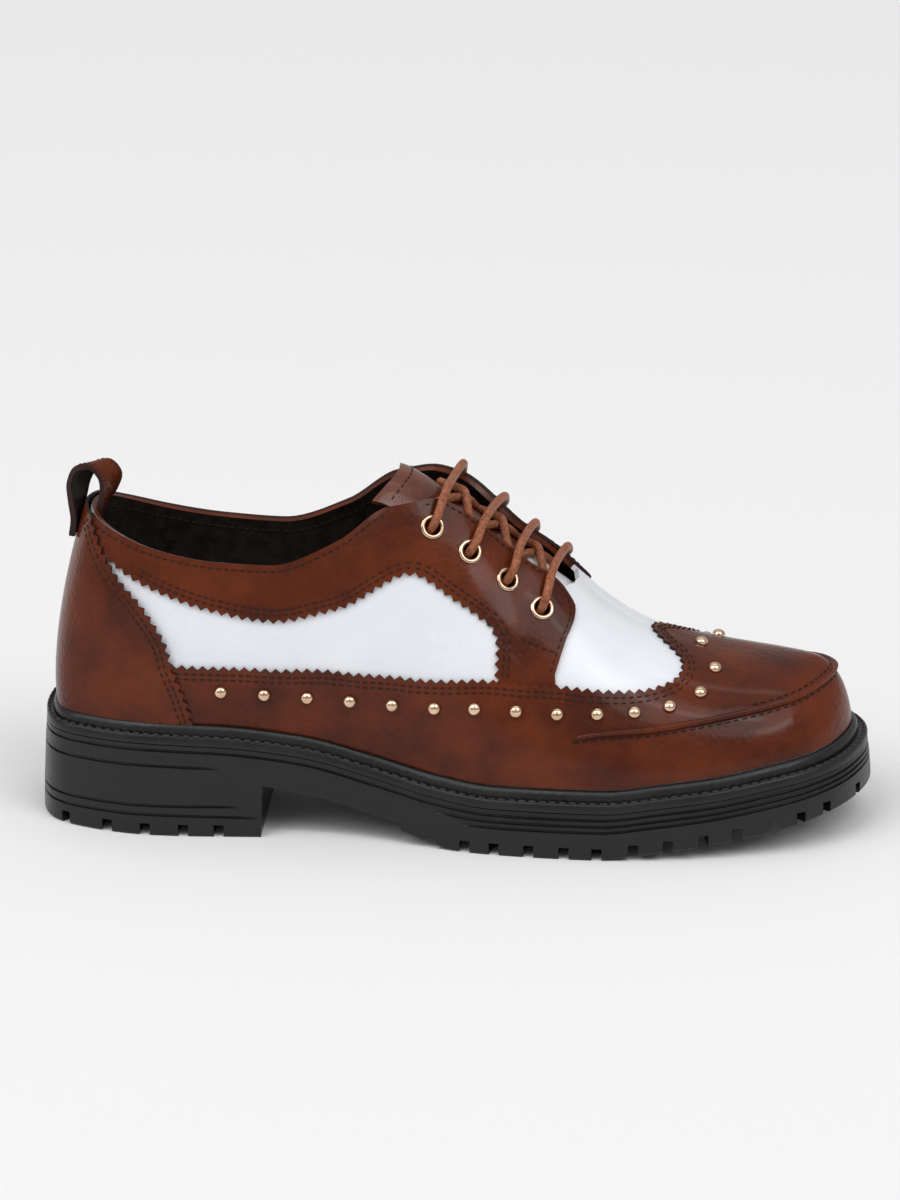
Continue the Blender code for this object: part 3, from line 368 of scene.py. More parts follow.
def wall_normal(station, up):
    """The unit vector that points out of the upper, the same for both sides where they meet on the ridge."""
    here = side_normal(station, up)
    across = side_normal(STATIONS - station, up)
    shared = 0.5 * smooth_step(up, *RIDGE_SHARES) * smooth_step(from_heel(station), *RIDGE_STATIONS)
    return unit(here + (across - here) * shared[..., None])


def upper_point(station, up, off=0.0):
    """A point on the upper's outer surface with its facings lifted, and off metres outside it."""
    station, up = np.broadcast_arrays(np.asarray(station, float), np.asarray(up, float))
    away = facing_lift(station, up) + off
    return wall_point(station, up) + wall_normal(station, up) * np.asarray(away)[..., None]


print("wall at the ball:", upper_point(8.0, 0.5).round(4))

# %% [markdown]
# ## Pattern lines
# Each leather panel is drawn on the last as a line of (station, share) pairs, as a pattern cutter draws on tape.
# The lines could be Blender curves, but pairs on the last move with it when a size changes.

# %% Pattern lines and small sizes
# Overlay edges on the outer side, as (station, up) pairs; the inner side mirrors them
COUNTER_EDGE = (
    (0.98, 1.0),
    (1.21, 0.97),
    (1.76, 0.868),
    (2.34, 0.77),
    (2.77, 0.703),
    (3.13, 0.61),
    (3.34, 0.535),
    (3.5, 0.422),
    (3.72, 0.283),
    (3.9, 0.122),
)
BAND_EDGE = (
    (2.63, 0.807),
    (3.17, 0.78),
    (3.73, 0.75),
    (4.23, 0.725),
    (4.68, 0.705),
    (5.13, 0.698),
    (5.55, 0.695),
    (6.02, 0.688),
    (6.53, 0.685),
    (6.88, 0.69),
    (7.12, 0.7),
    (7.35, 0.687),
    (7.57, 0.645),
    (7.78, 0.597),
    (8.03, 0.55),
    (8.27, 0.517),
    (8.45, 0.495),
    (8.5, 0.465),
    (8.47, 0.4),
)
# Free edge of the facing, from the collar round the throat and down to the wing
OUTER_FACING_EDGE = (
    (7.2, 1.0),
    (7.53, 0.985),
    (7.83, 0.945),
    (8.37, 0.833),
    (9.1, 0.792),
    (9.69, 0.782),
    (9.86, 0.733),
    (9.84, 0.69),
    (9.61, 0.55),
    (9.4, 0.43),
)
INNER_FACING_EDGE = (
    (7.2, 1.0),
    (7.53, 0.99),
    (7.83, 0.965),
    (8.37, 0.9),
    (9.1, 0.86),
    (9.8, 0.845),
    (10.05, 0.8),
    (10.02, 0.73),
    (9.75, 0.57),
    (9.5, 0.43),
)
STAY_FOOT = (9.0, 0.395)
THROAT_END = ((9.95, 0.88), (10.1, 1.0))
WING_EDGE = (
    (3.55, 0.42),
    (5.42, 0.43),
    (6.85, 0.36),
    (8.22, 0.343),
    (9.32, 0.39),
    (10.26, 0.445),
    (10.71, 0.5),
    (11.09, 0.56),
    (11.37, 0.625),
    (11.5, 0.69),
    (11.5, 0.79),
    (11.37, 0.845),
    (11.18, 0.92),
    (11.1, 1.0),
)
APRON_LOW = ((9.6, 0.232), (11.3, 0.35), (12.63, 0.437), (13.96, 0.52), (15.3, 0.615), (16.0, 0.65))
APRON_HIGH = ((9.75, 0.262), (11.3, 0.39), (12.65, 0.483), (14.0, 0.575), (15.25, 0.665), (16.0, 0.7))
EYELETS = ((7.67, 0.833), (8.2, 0.715), (8.72, 0.667), (9.27, 0.635))
STUDS = (
    (4.29, 0.302),
    (4.91, 0.305),
    (5.51, 0.295),
    (6.12, 0.283),
    (6.75, 0.268),
    (7.41, 0.266),
    (8.06, 0.267),
    (8.72, 0.283),
    (9.39, 0.307),
    (10.05, 0.345),
    (10.64, 0.4),
    (11.22, 0.465),
    (11.77, 0.568),
    (12.09, 0.75),
)
CENTRE_STUD = (11.94, 0.985)

# Crest of the tongue from its free end to the vamp: up in 106ths of UPPER_HEIGHT; half width, arch
# radius and shift towards the inner side in hundredths of BALL_WIDTH
TONGUE_CREST = (
    # along, up, half width, arch radius, shift
    (121.0, 120.5, 17.4, 26.0, 0.2),
    (129.0, 117.0, 17.2, 25.0, 0.2),
    (137.0, 111.2, 16.8, 24.0, 0.3),
    (150.0, 101.4, 16.0, 23.0, 0.7),
    (163.0, 91.0, 12.6, 23.0, 1.0),
    (172.0, 83.8, 11.0, 25.0, 1.2),
    (180.0, 77.7, 10.0, 28.0, 1.5),
    (188.0, 72.2, 9.0, 32.0, 2.0),
)

OVERLAY = 0.0012
EYELET_BORE = 0.0025
EYELET_BARREL = 0.0029
EYELET_FLANGE = 0.00415
STUD_RADIUS = 0.0023
STUD_HEIGHT = 0.0019
LACE_RADIUS = 0.0015
TONGUE_SLANT = 0.008
STRAP_WIDTH = 0.010
STRAP_THICKNESS = 0.002
GROOVE_DEPTH = 0.0008
GROOVE_HALF = 0.0005
LUG_HEIGHT = 0.0042
SLOT_WIDTH = 0.0034
WAIST_STEP = 124.0
GROOVE_FADE = 3.0
INNER_EYELET_UP = 0.03
NOTCH_LENGTH = 0.016
CROSSING_START = 0.0037
CROSSING_END = 0.0005
STRAP_SEAT = 0.0008
print("pattern points of the wing:", len(WING_EDGE), "studs a side:", len(STUDS))

# %% [markdown]
# ## Soft creases
# Leather pulled over a last keeps shallow troughs where it flexes. Each one is a soft dent in the surface
# itself, so the layers above follow it. A bump map would shade them too, but would not bend the stitch rows.

# %% Creases
CREASES = (
    # station, up, half length, half width, slant, depth in metres
    (10.6, 0.62, 0.55, 0.03, 0.16, 0.0004),
    (10.3, 0.80, 0.5, 0.035, 0.10, 0.00035),
    (8.9, 0.44, 0.5, 0.03, -0.12, 0.0004),
    (6.3, 0.55, 0.9, 0.05, 0.10, 0.0004),
    (4.6, 0.6, 0.8, 0.05, -0.06, 0.0003),
)


# The frame's origin is under the middle of the heel, the last's is at its back
FRAME_SHIFT = np.array([HEEL_CENTRE, 0.0, 0.0])


def crease_depth(station, up):
    side = from_heel(station)
    total = np.zeros(np.shape(side))
    for middle, share, length, width, slant, depth in CREASES:
        along = side - middle
        across = up - share - slant * along
        total = total + depth * np.exp(-((along / length) ** 2) - (across / width) ** 2)
    return total


def leather_point(station, up, off=0.0):
    """A point on the creased leather, off metres outside it, in the frame of the solids."""
    station, up = np.broadcast_arrays(np.asarray(station, float), np.asarray(up, float))
    return upper_point(station, up, off - crease_depth(station, up)) - FRAME_SHIFT


def on_leather(places, off=0.0):
    """The same for rows of (station, up), which stop at the feather edge and the top line."""
    return leather_point(places[:, 0], np.clip(places[:, 1], 0.0, 1.0), off)


print("deepest crease:", max(row[-1] for row in CREASES))

# %% [markdown]
# ## Finishes
# Two effects are shared by several finishes, so each is one node group: a grain of fine pores for the bump,
# and a mottle that blends two colours in soft patches, as polish does on antiqued leather. Copying the nodes
# into each material would work as well, but a group is mended in one place.

# %% Shared shader groups
def new_group(name, sockets):
    tree = bpy.data.node_groups.new(name, "ShaderNodeTree")
    for label, way, kind in sockets:
        tree.interface.new_socket(name=label, in_out=way, socket_type=kind)
    return tree, tree.nodes.new("NodeGroupInput"), tree.nodes.new("NodeGroupOutput")


# The grain has this share of waves to each pore, and patches blend over this range of the clouds
WAVE_SHARE = 0.35
CLOUD_RANGE = (0.36, 0.64)


def grain_group():
    sockets = [("Place", "INPUT", "NodeSocketVector"), ("Pores", "INPUT", "NodeSocketFloat")]
    sockets += [("Height", "OUTPUT", "NodeSocketFloat")]
    tree, given, result = new_group("fine_grain", sockets)
    cells = tree.nodes.new("ShaderNodeTexVoronoi")
    waves = tree.nodes.new("ShaderNodeTexNoise")
    waves.inputs["Detail"].default_value = 2.0
    half = tree.nodes.new("ShaderNodeMath")
    half.operation = "MULTIPLY"
    half.inputs[1].default_value = WAVE_SHARE
    total = tree.nodes.new("ShaderNodeMath")
    total.operation = "ADD"
    for node in (cells, waves):
        tree.links.new(given.outputs["Place"], node.inputs["Vector"])
    tree.links.new(given.outputs["Pores"], cells.inputs["Scale"])
    tree.links.new(given.outputs["Pores"], half.inputs[0])
    tree.links.new(half.outputs[0], waves.inputs["Scale"])
    tree.links.new(cells.outputs["Distance"], total.inputs[0])
    tree.links.new(waves.outputs["Fac"], total.inputs[1])
    tree.links.new(total.outputs[0], result.inputs["Height"])
    return tree


def mottle_group():
    sockets = [("Place", "INPUT", "NodeSocketVector"), ("Size", "INPUT", "NodeSocketFloat")]
    sockets += [("Light", "INPUT", "NodeSocketColor"), ("Dark", "INPUT", "NodeSocketColor")]
    sockets += [("Colour", "OUTPUT", "NodeSocketColor"), ("Patch", "OUTPUT", "NodeSocketFloat")]
    tree, given, result = new_group("soft_mottle", sockets)
    clouds = tree.nodes.new("ShaderNodeTexNoise")
    clouds.inputs["Detail"].default_value = 4.0
    clouds.inputs["Roughness"].default_value = 0.62
    ramp = tree.nodes.new("ShaderNodeMapRange")
    ramp.inputs["From Min"].default_value, ramp.inputs["From Max"].default_value = CLOUD_RANGE
    blend = tree.nodes.new("ShaderNodeMix")
    blend.data_type = "RGBA"
    tree.links.new(given.outputs["Place"], clouds.inputs["Vector"])
    tree.links.new(given.outputs["Size"], clouds.inputs["Scale"])
    tree.links.new(clouds.outputs["Fac"], ramp.inputs["Value"])
    tree.links.new(ramp.outputs["Result"], blend.inputs["Factor"])
    tree.links.new(given.outputs["Dark"], blend.inputs["A"])
    tree.links.new(given.outputs["Light"], blend.inputs["B"])
    tree.links.new(blend.outputs["Result"], result.inputs["Colour"])
    tree.links.new(ramp.outputs["Result"], result.inputs["Patch"])
    return tree


GRAIN = grain_group()
MOTTLE = mottle_group()
print("shader groups:", GRAIN.name, MOTTLE.name)


# %% [markdown]
# ## One recipe, many finishes
# Leather, rubber, metal and cord all read the same recipe with other numbers. Roughness follows the mottle a
# little, so worn patches shine less. Patterns read Object coordinates, so they keep their size on every piece.

# %% The recipe and the finishes
PORE_DEPTH = 0.0002
COAT_ROUGHNESS = 0.12


def finish(name, light, dark, patch, rough, pores, bump, coat=0.0, metallic=0.0, shine=0.3):
    """light and dark are the mottle's colours, patch and pores the patterns' scales, rough the two roughnesses."""
    material = bpy.data.materials.new(name)
    material.use_nodes = True
    tree = material.node_tree
    shader = tree.nodes["Principled BSDF"]
    place = tree.nodes.new("ShaderNodeTexCoord").outputs["Object"]
    mottle = tree.nodes.new("ShaderNodeGroup")
    mottle.node_tree = MOTTLE
    mottle.inputs["Size"].default_value = patch
    mottle.inputs["Light"].default_value = (*light, 1.0)
    mottle.inputs["Dark"].default_value = (*dark, 1.0)
    grain = tree.nodes.new("ShaderNodeGroup")
    grain.node_tree = GRAIN
    grain.inputs["Pores"].default_value = pores
    relief = tree.nodes.new("ShaderNodeBump")
    relief.inputs["Strength"].default_value = bump
    relief.inputs["Distance"].default_value = PORE_DEPTH
    polish = tree.nodes.new("ShaderNodeMapRange")
    polish.inputs["To Min"].default_value = rough[0]
    polish.inputs["To Max"].default_value = rough[1]
    tree.links.new(place, mottle.inputs["Place"])
    tree.links.new(place, grain.inputs["Place"])
    tree.links.new(mottle.outputs["Colour"], shader.inputs["Base Color"])
    tree.links.new(mottle.outputs["Patch"], polish.inputs["Value"])
    tree.links.new(polish.outputs["Result"], shader.inputs["Roughness"])
    tree.links.new(grain.outputs["Height"], relief.inputs["Height"])
    tree.links.new(relief.outputs["Normal"], shader.inputs["Normal"])
    shader.inputs["Metallic"].default_value = metallic
    shader.inputs["Coat Weight"].default_value = coat
    shader.inputs["Coat Roughness"].default_value = COAT_ROUGHNESS
    shader.inputs["Specular IOR Level"].default_value = shine
    return material


BROWN = finish(
    "brown_leather", (0.118, 0.0218, 0.0058), (0.056, 0.0108, 0.0038), 38.0, (0.26, 0.36), 620.0, 1.0,
    coat=0.27, shine=0.06,
)
TONGUE_BROWN = finish(
    "tongue_leather", (0.17, 0.042, 0.018), (0.09, 0.022, 0.010), 60.0, (0.28, 0.38), 800.0, 0.6, coat=0.35
)
CUT_EDGE = finish(
    "cut_leather_edge", (0.035, 0.010, 0.006), (0.016, 0.006, 0.004), 300.0, (0.6, 0.8), 1500.0, 0.5
)
WHITE = finish(
    "white_leather", (0.765, 0.78, 0.82), (0.735, 0.75, 0.795), 30.0, (0.24, 0.32), 1100.0, 0.08, coat=0.25
)
LINING = finish("dark_lining", (0.022, 0.015, 0.012), (0.010, 0.007, 0.006), 220.0, (0.5, 0.66), 1300.0, 0.5)
SOCK = finish("sock_lining", (0.024, 0.017, 0.013), (0.012, 0.009, 0.007), 160.0, (0.6, 0.75), 1200.0, 0.4)
RUBBER = finish(
    "black_rubber", (0.0075, 0.0075, 0.0073), (0.005, 0.005, 0.005), 70.0, (0.3, 0.42), 700.0, 0.3, shine=0.4
)
# The eyelets take the studs' gold darkened: painted shade for the rolled rings' shaded sides and dark barrels, not
# another metal
SHADED_RING_GOLD = finish(
    "eyelet_gold_painted_shade", (0.66, 0.47, 0.34), (0.46, 0.30, 0.20), 260.0, (0.08, 0.15), 900.0, 0.04, metallic=1.0
)
GOLD = finish(
    "pale_gold", (0.86, 0.62, 0.44), (0.66, 0.43, 0.28), 260.0, (0.08, 0.15), 900.0, 0.04, metallic=1.0
)
CORD = finish(
    "waxed_cord", (0.37, 0.130, 0.062), (0.18, 0.056, 0.027), 900.0, (0.36, 0.48), 1500.0, 0.8, shine=0.2
)
# All thread is twisted alike and takes only its colours from the seam
TWIST = (900.0, (0.5, 0.65), 4000.0, 0.8)
BROWN_THREAD = finish("brown_thread", (0.030, 0.010, 0.006), (0.014, 0.005, 0.004), *TWIST)
BLACK_THREAD = finish("black_thread", (0.012, 0.010, 0.010), (0.006, 0.005, 0.005), *TWIST)
print("finishes:", len(bpy.data.materials))

# %% [markdown]
# ## Small helpers
# Every finished piece gets its mesh, finish, body and the solids that it stands for in one call, and its object
# stays at the origin. Most pieces follow the last, which no primitive does, so they start as computed points.

# %% Piece helper
def deselect():
    bpy.ops.object.select_all(action="DESELECT")


def apply_all(piece):
    deselect()
    piece.select_set(True)
    bpy.context.view_layer.objects.active = piece
    for modifier in list(piece.modifiers):
        bpy.ops.object.modifier_apply(modifier=modifier.name)


def smooth_by_angle(piece, degrees=35.0):
    piece.data.shade_smooth()
    piece.data.set_sharp_from_angle(angle=math.radians(degrees))


def link_new(name, data):
    thing = bpy.data.objects.new(name, data)
    bpy.context.scene.collection.objects.link(thing)
    return thing


def mend(mesh, weld=0.0, sliver=0.0, turn_out=False):
    """Joins points closer than weld, drops edges shorter than sliver and turns the faces outwards."""
    shape = bmesh.new()
    shape.from_mesh(mesh)
    if weld:
        bmesh.ops.remove_doubles(shape, verts=shape.verts, dist=weld)
    if sliver:
        bmesh.ops.dissolve_degenerate(shape, edges=shape.edges, dist=sliver)
    if turn_out:
        bmesh.ops.recalc_face_normals(shape, faces=shape.faces)
    shape.to_mesh(mesh)
    shape.free()


def add_piece(name, points, faces, materials, weld=0.0):
    mesh = bpy.data.meshes.new(name)
    mesh.from_pydata(np.asarray(points, float).tolist(), [], [list(map(int, face)) for face in faces])
    if weld:
        mend(mesh, weld=weld)
    for material in materials:
        mesh.materials.append(material)
    return link_new(name, mesh)


def thicken(sheet, thickness, offset):
    """Gives an open sheet its thickness; its second material lines the back and its third the cut edge."""
    solid = sheet.modifiers.new("leather", "SOLIDIFY")
    solid.thickness = thickness
    solid.offset = offset
    solid.material_offset = 1
    solid.material_offset_rim = 2
    apply_all(sheet)
    smooth_by_angle(sheet, 40.0)
    return sheet


def sheet_faces(rows, columns):
    """The four-sided faces between points that lie in rows and columns."""
    corners = [row * columns + column for row in range(rows - 1) for column in range(columns - 1)]
    return [(corner, corner + columns, corner + columns + 1, corner + 1) for corner in corners]


def settle(piece, slot, *nodes):
    """Puts a finished piece on the shoe's one body, in place of the solids named by nodes."""
    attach(piece, "root")
    if nodes:
        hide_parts(*nodes)
    print(piece.name, len(piece.data.polygons), "faces")
    return piece


print("solids to dress:", len(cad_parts))

# %% [markdown]
# ## Cutting a panel
# A panel is a closed line on the last. Its inside is filled with small triangles that follow the last, then it
# gets the leather's thickness. A flat sheet shrunk onto the last would stretch, so the surface is read directly.

# %% Panel cutter
# Size of a panel's triangles, and about how long one station and the whole wall are, in metres
CELL = 0.0023
GAUGE = np.array([0.020, 0.075])
# Inner points keep this share of a cell from the border, and are compared with it a block at a time
BORDER_SHARE = 0.4
BLOCK = 2000
# Where a panel's foot goes under another it sinks this deep, over this share of the wall
LAP_SINK = 0.0006
LAP_BLEND = 0.04


def inside_mask(points, loop):
    """Which points lie inside the closed line: a ray from each crosses it an odd number of times."""
    hit = np.zeros(len(points), bool)
    ends = np.roll(loop, -1, 0)
    for (x1, y1), (x2, y2) in zip(loop, ends):
        crosses = (y1 > points[:, 1]) != (y2 > points[:, 1])
        if y1 != y2:
            hit ^= crosses & (points[:, 0] < (x2 - x1) * (points[:, 1] - y1) / (y2 - y1) + x1)
    return hit


def densified(loop):
    """The closed line with points at most a cell apart."""
    dense = []
    for start, end in zip(loop, np.roll(loop, -1, 0)):
        count = max(1, math.ceil(np.linalg.norm(end - start) / CELL))
        dense += [start + (end - start) * k / count for k in range(count)]
    return np.array(dense)


def on_panel(points, loops):
    """Which points lie inside the first line and outside the others, the holes."""
    keep = inside_mask(points, loops[0])
    for hole in loops[1:]:
        keep &= ~inside_mask(points, hole)
    return keep


def panel_mesh(outline, holes=()):
    """Places and triangles that fill a closed line of (station, up) pairs, less its holes."""
    loops = [densified(np.array(loop) * GAUGE) for loop in (outline, *holes)]
    low, high = loops[0].min(0), loops[0].max(0)
    ranges = [np.arange(math.floor(low[k] / CELL), math.ceil(high[k] / CELL) + 1) * CELL for k in (0, 1)]
    grid = np.stack(np.meshgrid(*ranges, indexing="ij"), -1).reshape(-1, 2)
    border = np.concatenate(loops)
    grid = grid[on_panel(grid, loops)]
    near = np.zeros(len(grid), bool)
    for start in range(0, len(grid), BLOCK):
        block = grid[start : start + BLOCK]
        gap = np.abs(block[:, None] - border[None]).max(-1).min(1)
        near[start : start + BLOCK] = gap < BORDER_SHARE * CELL
    points = [Vector(p) for p in np.concatenate([border, grid[~near]])]
    edges, start = [], 0
    for loop in loops:
        edges += [(start + k, start + (k + 1) % len(loop)) for k in range(len(loop))]
        start += len(loop)
    flat, _, faces, *_ = delaunay_2d_cdt(points, edges, [], 0, 1e-9)
    flat = np.array([tuple(p) for p in flat])
    faces = np.array(faces)
    return flat / GAUGE, faces[on_panel(flat[faces].mean(1), loops)]


def cut_panel(name, outline, materials, off, thickness, holes=(), under=None):
    """materials are the outer face, back and cut edge; under is a line that the panel's foot goes below."""
    places, faces = panel_mesh(outline, holes)
    if under is not None:
        covered = np.interp(from_heel(places[:, 0]), [s for s, _ in under], [u for _, u in under])
        off = off - LAP_SINK * (1 - smooth_step(places[:, 1] - covered, 0.0, LAP_BLEND))
    panel = add_piece(name, on_leather(places, off), faces, materials, weld=3e-5)
    return thicken(panel, abs(thickness), 1.0 if thickness > 0 else -1.0)


def mirrored(line):
    return [(STATIONS - station, up) for station, up in line]


print("panel cells:", CELL * 1000, "mm")

# %% [markdown]
# ## Pinked edges and stitch lines
# The brown overlays are cut with a pinking wheel, which leaves small teeth, and are sewn down beside the teeth.
# Both follow a pattern line at even steps of real length, so both start from the same walk along the line.
# An Array with a Curve modifier would also space them, but it can't read the last.

# %% Walking along a pattern line
TOOTH_PITCH = 0.0035
TOOTH_DEPTH = 0.00075


def lengths_along(points):
    """How far along the line each of its points lies."""
    return np.concatenate([[0.0], np.cumsum(np.linalg.norm(np.diff(points, axis=0), axis=1))])


def smooth_path(points, count):
    """Evenly spaced places on the smooth curve through the points."""
    points = np.asarray(points, float)
    legs = lengths_along(points)
    slopes = np.gradient(points, legs, axis=0)
    path = []
    for place in np.linspace(0.0, legs[-1], count + 1):
        leg = min(np.searchsorted(legs, place, side="right") - 1, len(legs) - 2)
        width = legs[leg + 1] - legs[leg]
        part = (place - legs[leg]) / width
        path.append(between(points[leg], points[leg + 1], slopes[leg] * width, slopes[leg + 1] * width, part))
    return np.array(path)


def walk(line, pitch):
    """Evenly spaced (station, up) places along the smooth line, pitch metres apart."""
    dense = smooth_path(np.array(line) * GAUGE, 40 * len(line)) / GAUGE
    run = lengths_along(on_leather(dense))
    places = np.linspace(0.0, run[-1], max(2, int(round(run[-1] / pitch))) + 1)
    return np.stack([np.interp(places, run, dense[:, k]) for k in (0, 1)], 1)


def surface_axes(places):
    """How the leather moves for one station round the shoe, and for the whole wall up it, at each place."""
    step = 0.01
    station, up = places[:, 0], np.clip(places[:, 1], 0.0, 1.0 - step)
    here = leather_point(station, up)
    return (leather_point(station + step, up) - here) / step, (leather_point(station, up + step) - here) / step


def shifted(places, distance):
    """Each place moved to the left of the walk by distance metres on the last."""
    round_shoe, up_wall = surface_axes(places)
    run = np.gradient(places, axis=0)
    ahead = round_shoe * run[:, :1] + up_wall * run[:, 1:]
    out = np.cross(round_shoe, up_wall)
    left = unit(np.cross(out, ahead))
    a, b, c = (round_shoe**2).sum(1), (round_shoe * up_wall).sum(1), (up_wall**2).sum(1)
    p, q = (left * round_shoe).sum(1), (left * up_wall).sum(1)
    spread = a * c - b * b
    move = np.stack([(p * c - q * b) / spread, (q * a - p * b) / spread], 1)
    return places + move * np.reshape(distance, (-1, 1))


def pinked(line):
    """The pattern line with teeth, cut alternately to its left and right."""
    places = walk(line, 0.5 * TOOTH_PITCH)
    side = np.where(np.arange(len(places)) % 2 == 1, TOOTH_DEPTH, -TOOTH_DEPTH)
    side[0] = side[-1] = 0.0
    return [tuple(place) for place in shifted(places, side)]


print("teeth along the wing:", len(walk(WING_EDGE, TOOTH_PITCH)) - 1)

# %% [markdown]
# ## The upper itself
# White vamp and quarters are one shell here: white outside, dark lining inside, a brown painted edge along the
# collar. The eyelet holes go right through it. They are holes in the panel's outline, where a Boolean would
# leave long thin faces round each.

# %% Eyelet holes and hems
HOLE_CORNERS = 20


def wall_share_at(stations, heights):
    """How far up the wall each station reaches the given height."""
    shares = np.linspace(0.0, 0.6, 121)  # the welt never covers more of the wall
    found = []
    for station, height in zip(stations, heights):
        wall = wall_point(np.full(shares.shape, station), shares)
        found.append(np.interp(height, wall[:, 2], shares))
    return np.array(found)


def hole_round(station, up, radius):
    """A round hole in the leather as (station, up) pairs."""
    places = np.array([[station, up]] * 2)
    round_shoe, up_wall = surface_axes(places)
    first = unit(round_shoe[0])
    second = unit(up_wall[0] - first * (up_wall[0] @ first))
    axes = np.array([first, second])
    to_places = np.linalg.inv(axes @ np.stack([round_shoe[0], up_wall[0]], 1))
    turns = np.arange(HOLE_CORNERS) * math.tau / HOLE_CORNERS
    ring = radius * np.stack([np.cos(turns), np.sin(turns)])
    return [tuple(place) for place in (np.array([[station], [up]]) + to_places @ ring).T]


def eyelet_places(side):
    for station, up in EYELETS:
        yield (station, up) if side == "outer" else (STATIONS - station, up + INNER_EYELET_UP)


def hem_line(start, end):
    """A panel's lower edge, just above the welt's rib, from one station to another."""
    stations = np.linspace(start, end, int(6 * abs(end - start)) + 2)
    plan = inset_outline(stations, np.full(stations.shape, WELT_INSET))
    heights = welt_height(plan[:, 0]) + RIB_HEIGHT + 0.5 * CLEARANCE
    return list(zip(stations, wall_share_at(stations, heights)))


print("eyelet holes:", 2 * len(EYELETS))

# %% White shell with its lining
OUTER_FACE, CUT_FACE = 0, 2  # material numbers of the shell
THROAT = {"outer": list(OUTER_FACING_EDGE[:6]), "inner": list(INNER_FACING_EDGE[:6])}
holes = {side: [hole_round(s, u, EYELET_BARREL) for s, u in eyelet_places(side)] for side in THROAT}
outline = [(0.0, 0.0), (float(STATIONS), 0.0), (float(STATIONS), 1.0)]
outline += mirrored(THROAT["inner"] + list(THROAT_END))
outline += (THROAT["outer"] + list(THROAT_END))[::-1] + [(0.0, 1.0)]
shell = cut_panel("upper_shell", outline, [WHITE, LINING, BROWN], 0.0, -WALL, holes["outer"] + holes["inner"])
# In front of the throat the cut edge is the white vamp's own
throat_end, throat_up = THROAT["inner"][-1]
throat_foot = float(leather_point(STATIONS - throat_end - 0.02, throat_up)[0])
for face in shell.data.polygons:
    if face.material_index == CUT_FACE and face.center.x > throat_foot:
        face.material_index = OUTER_FACE
settle(shell, "white_leather", "upper")

# %% [markdown]
# ## Brown overlays
# Wing, collar band with facing, and heel counter lie on the shell. The counter laps over the ends of the others,
# as it is sewn on last. They could be painted on the shell, but a real overlay shows its cut edge.

# %% Wing, eyestays and counter
# Thickness of an overlay, and how far the wing and the counter lie off the shell, in metres
LEATHER = 0.0010
WING_OFF = 0.0002
COUNTER_OFF = 0.00135
# Overlaps: in stations under the counter, and as a share of the wall under the wing
LAP = 0.14
UNDER_WING = 0.07
BROWN_SET = [BROWN, CUT_EDGE, CUT_EDGE]
foot = COUNTER_EDGE[-1][0]
wing_line = [(WING_EDGE[0][0] - LAP, WING_EDGE[0][1])] + list(WING_EDGE)
wing_teeth = pinked(wing_line)
wing = hem_line(foot - LAP, STATIONS - foot + LAP) + mirrored(wing_teeth) + wing_teeth[::-1]
settle(cut_panel("wing_overlay", wing, BROWN_SET, WING_OFF, LEATHER), "brown_leather", "wing")

BAND_LINE = [(1.72, 0.862), *BAND_EDGE, (8.43, 0.325)]
WING_LOW = WING_EDGE[:7]
FACING = {"outer": OUTER_FACING_EDGE, "inner": INNER_FACING_EDGE}
stay_lines = {}
for side, free_edge in FACING.items():
    behind = [(s - LAP, u) for s, u in COUNTER_EDGE[:2]]
    smooth_edge = [tuple(p) for p in walk(free_edge, 0.002)]
    corners = [(8.4, 0.37), STAY_FOOT, free_edge[-1]]
    foot_line = [(s, u - UNDER_WING) for s, u in corners]
    stay = behind + pinked(BAND_LINE) + foot_line + smooth_edge[::-1]
    if side == "inner":
        stay = mirrored(stay)[::-1]
    piece = cut_panel(f"eyestay_{side}_overlay", stay, BROWN_SET, WING_OFF, LEATHER, holes[side], WING_LOW)
    settle(piece, "brown_leather", f"eyestay_{side}")
    stay_lines[side] = smooth_edge

counter_teeth = pinked(COUNTER_EDGE)
counter = hem_line(-foot, foot) + counter_teeth[::-1] + [(-s, u) for s, u in counter_teeth]
piece = cut_panel("heel_counter_overlay", counter, BROWN_SET, COUNTER_OFF, LEATHER)
settle(piece, "brown_leather", "heel_counter")


# %% [markdown]
# ## The apron seam
# Round the toe the leather is pinched into a rounded ridge. It is swept between two pattern lines, with a
# half-round section. A bevelled curve would be as round, but it would float or sink where the toe bends.

# %% Apron ridge
RIDGE_HEIGHT = 0.0019
RIDGE_ROOT = 0.0004  # how deep its foot goes into the wing
RIDGE_FADE = 10.0  # columns over which its ends sink
RIDGE_END = 0.3  # share of the height that is left at its ends


def swept_ridge(name, low_line, high_line, base, height, material, columns=180, rows=9):
    """A closed half-round ridge between two lines of (station, up) pairs, base metres off the shell."""
    low = smooth_path(np.array(low_line), columns)
    high = smooth_path(np.array(high_line), columns)
    column = np.arange(columns + 1)
    fade = RIDGE_END + (1 - RIDGE_END) * np.clip(np.minimum(column, columns - column) / RIDGE_FADE, 0.0, 1.0)
    points = []
    for part in np.linspace(0.0, 1.0, rows):
        rise = base + height * max(0.0, math.sin(math.pi * part)) ** 0.6 * fade
        points.append(on_leather(low + (high - low) * part, rise))
    points += [on_leather(edge, base - RIDGE_ROOT) for edge in (high, low)]
    count, rings = columns + 1, rows + 2
    faces = []
    for ring in range(rings):
        after = (ring + 1) % rings
        for k in range(columns):
            faces.append((ring * count + k, ring * count + k + 1, after * count + k + 1, after * count + k))
    faces.append([ring * count for ring in range(rings)])
    faces.append([ring * count + columns for ring in range(rings)][::-1])
    piece = add_piece(name, np.concatenate(points), faces, [material])
    smooth_by_angle(piece, 50.0)
    return piece


def round_the_toe(line):
    return list(line) + mirrored(line)[-2::-1]


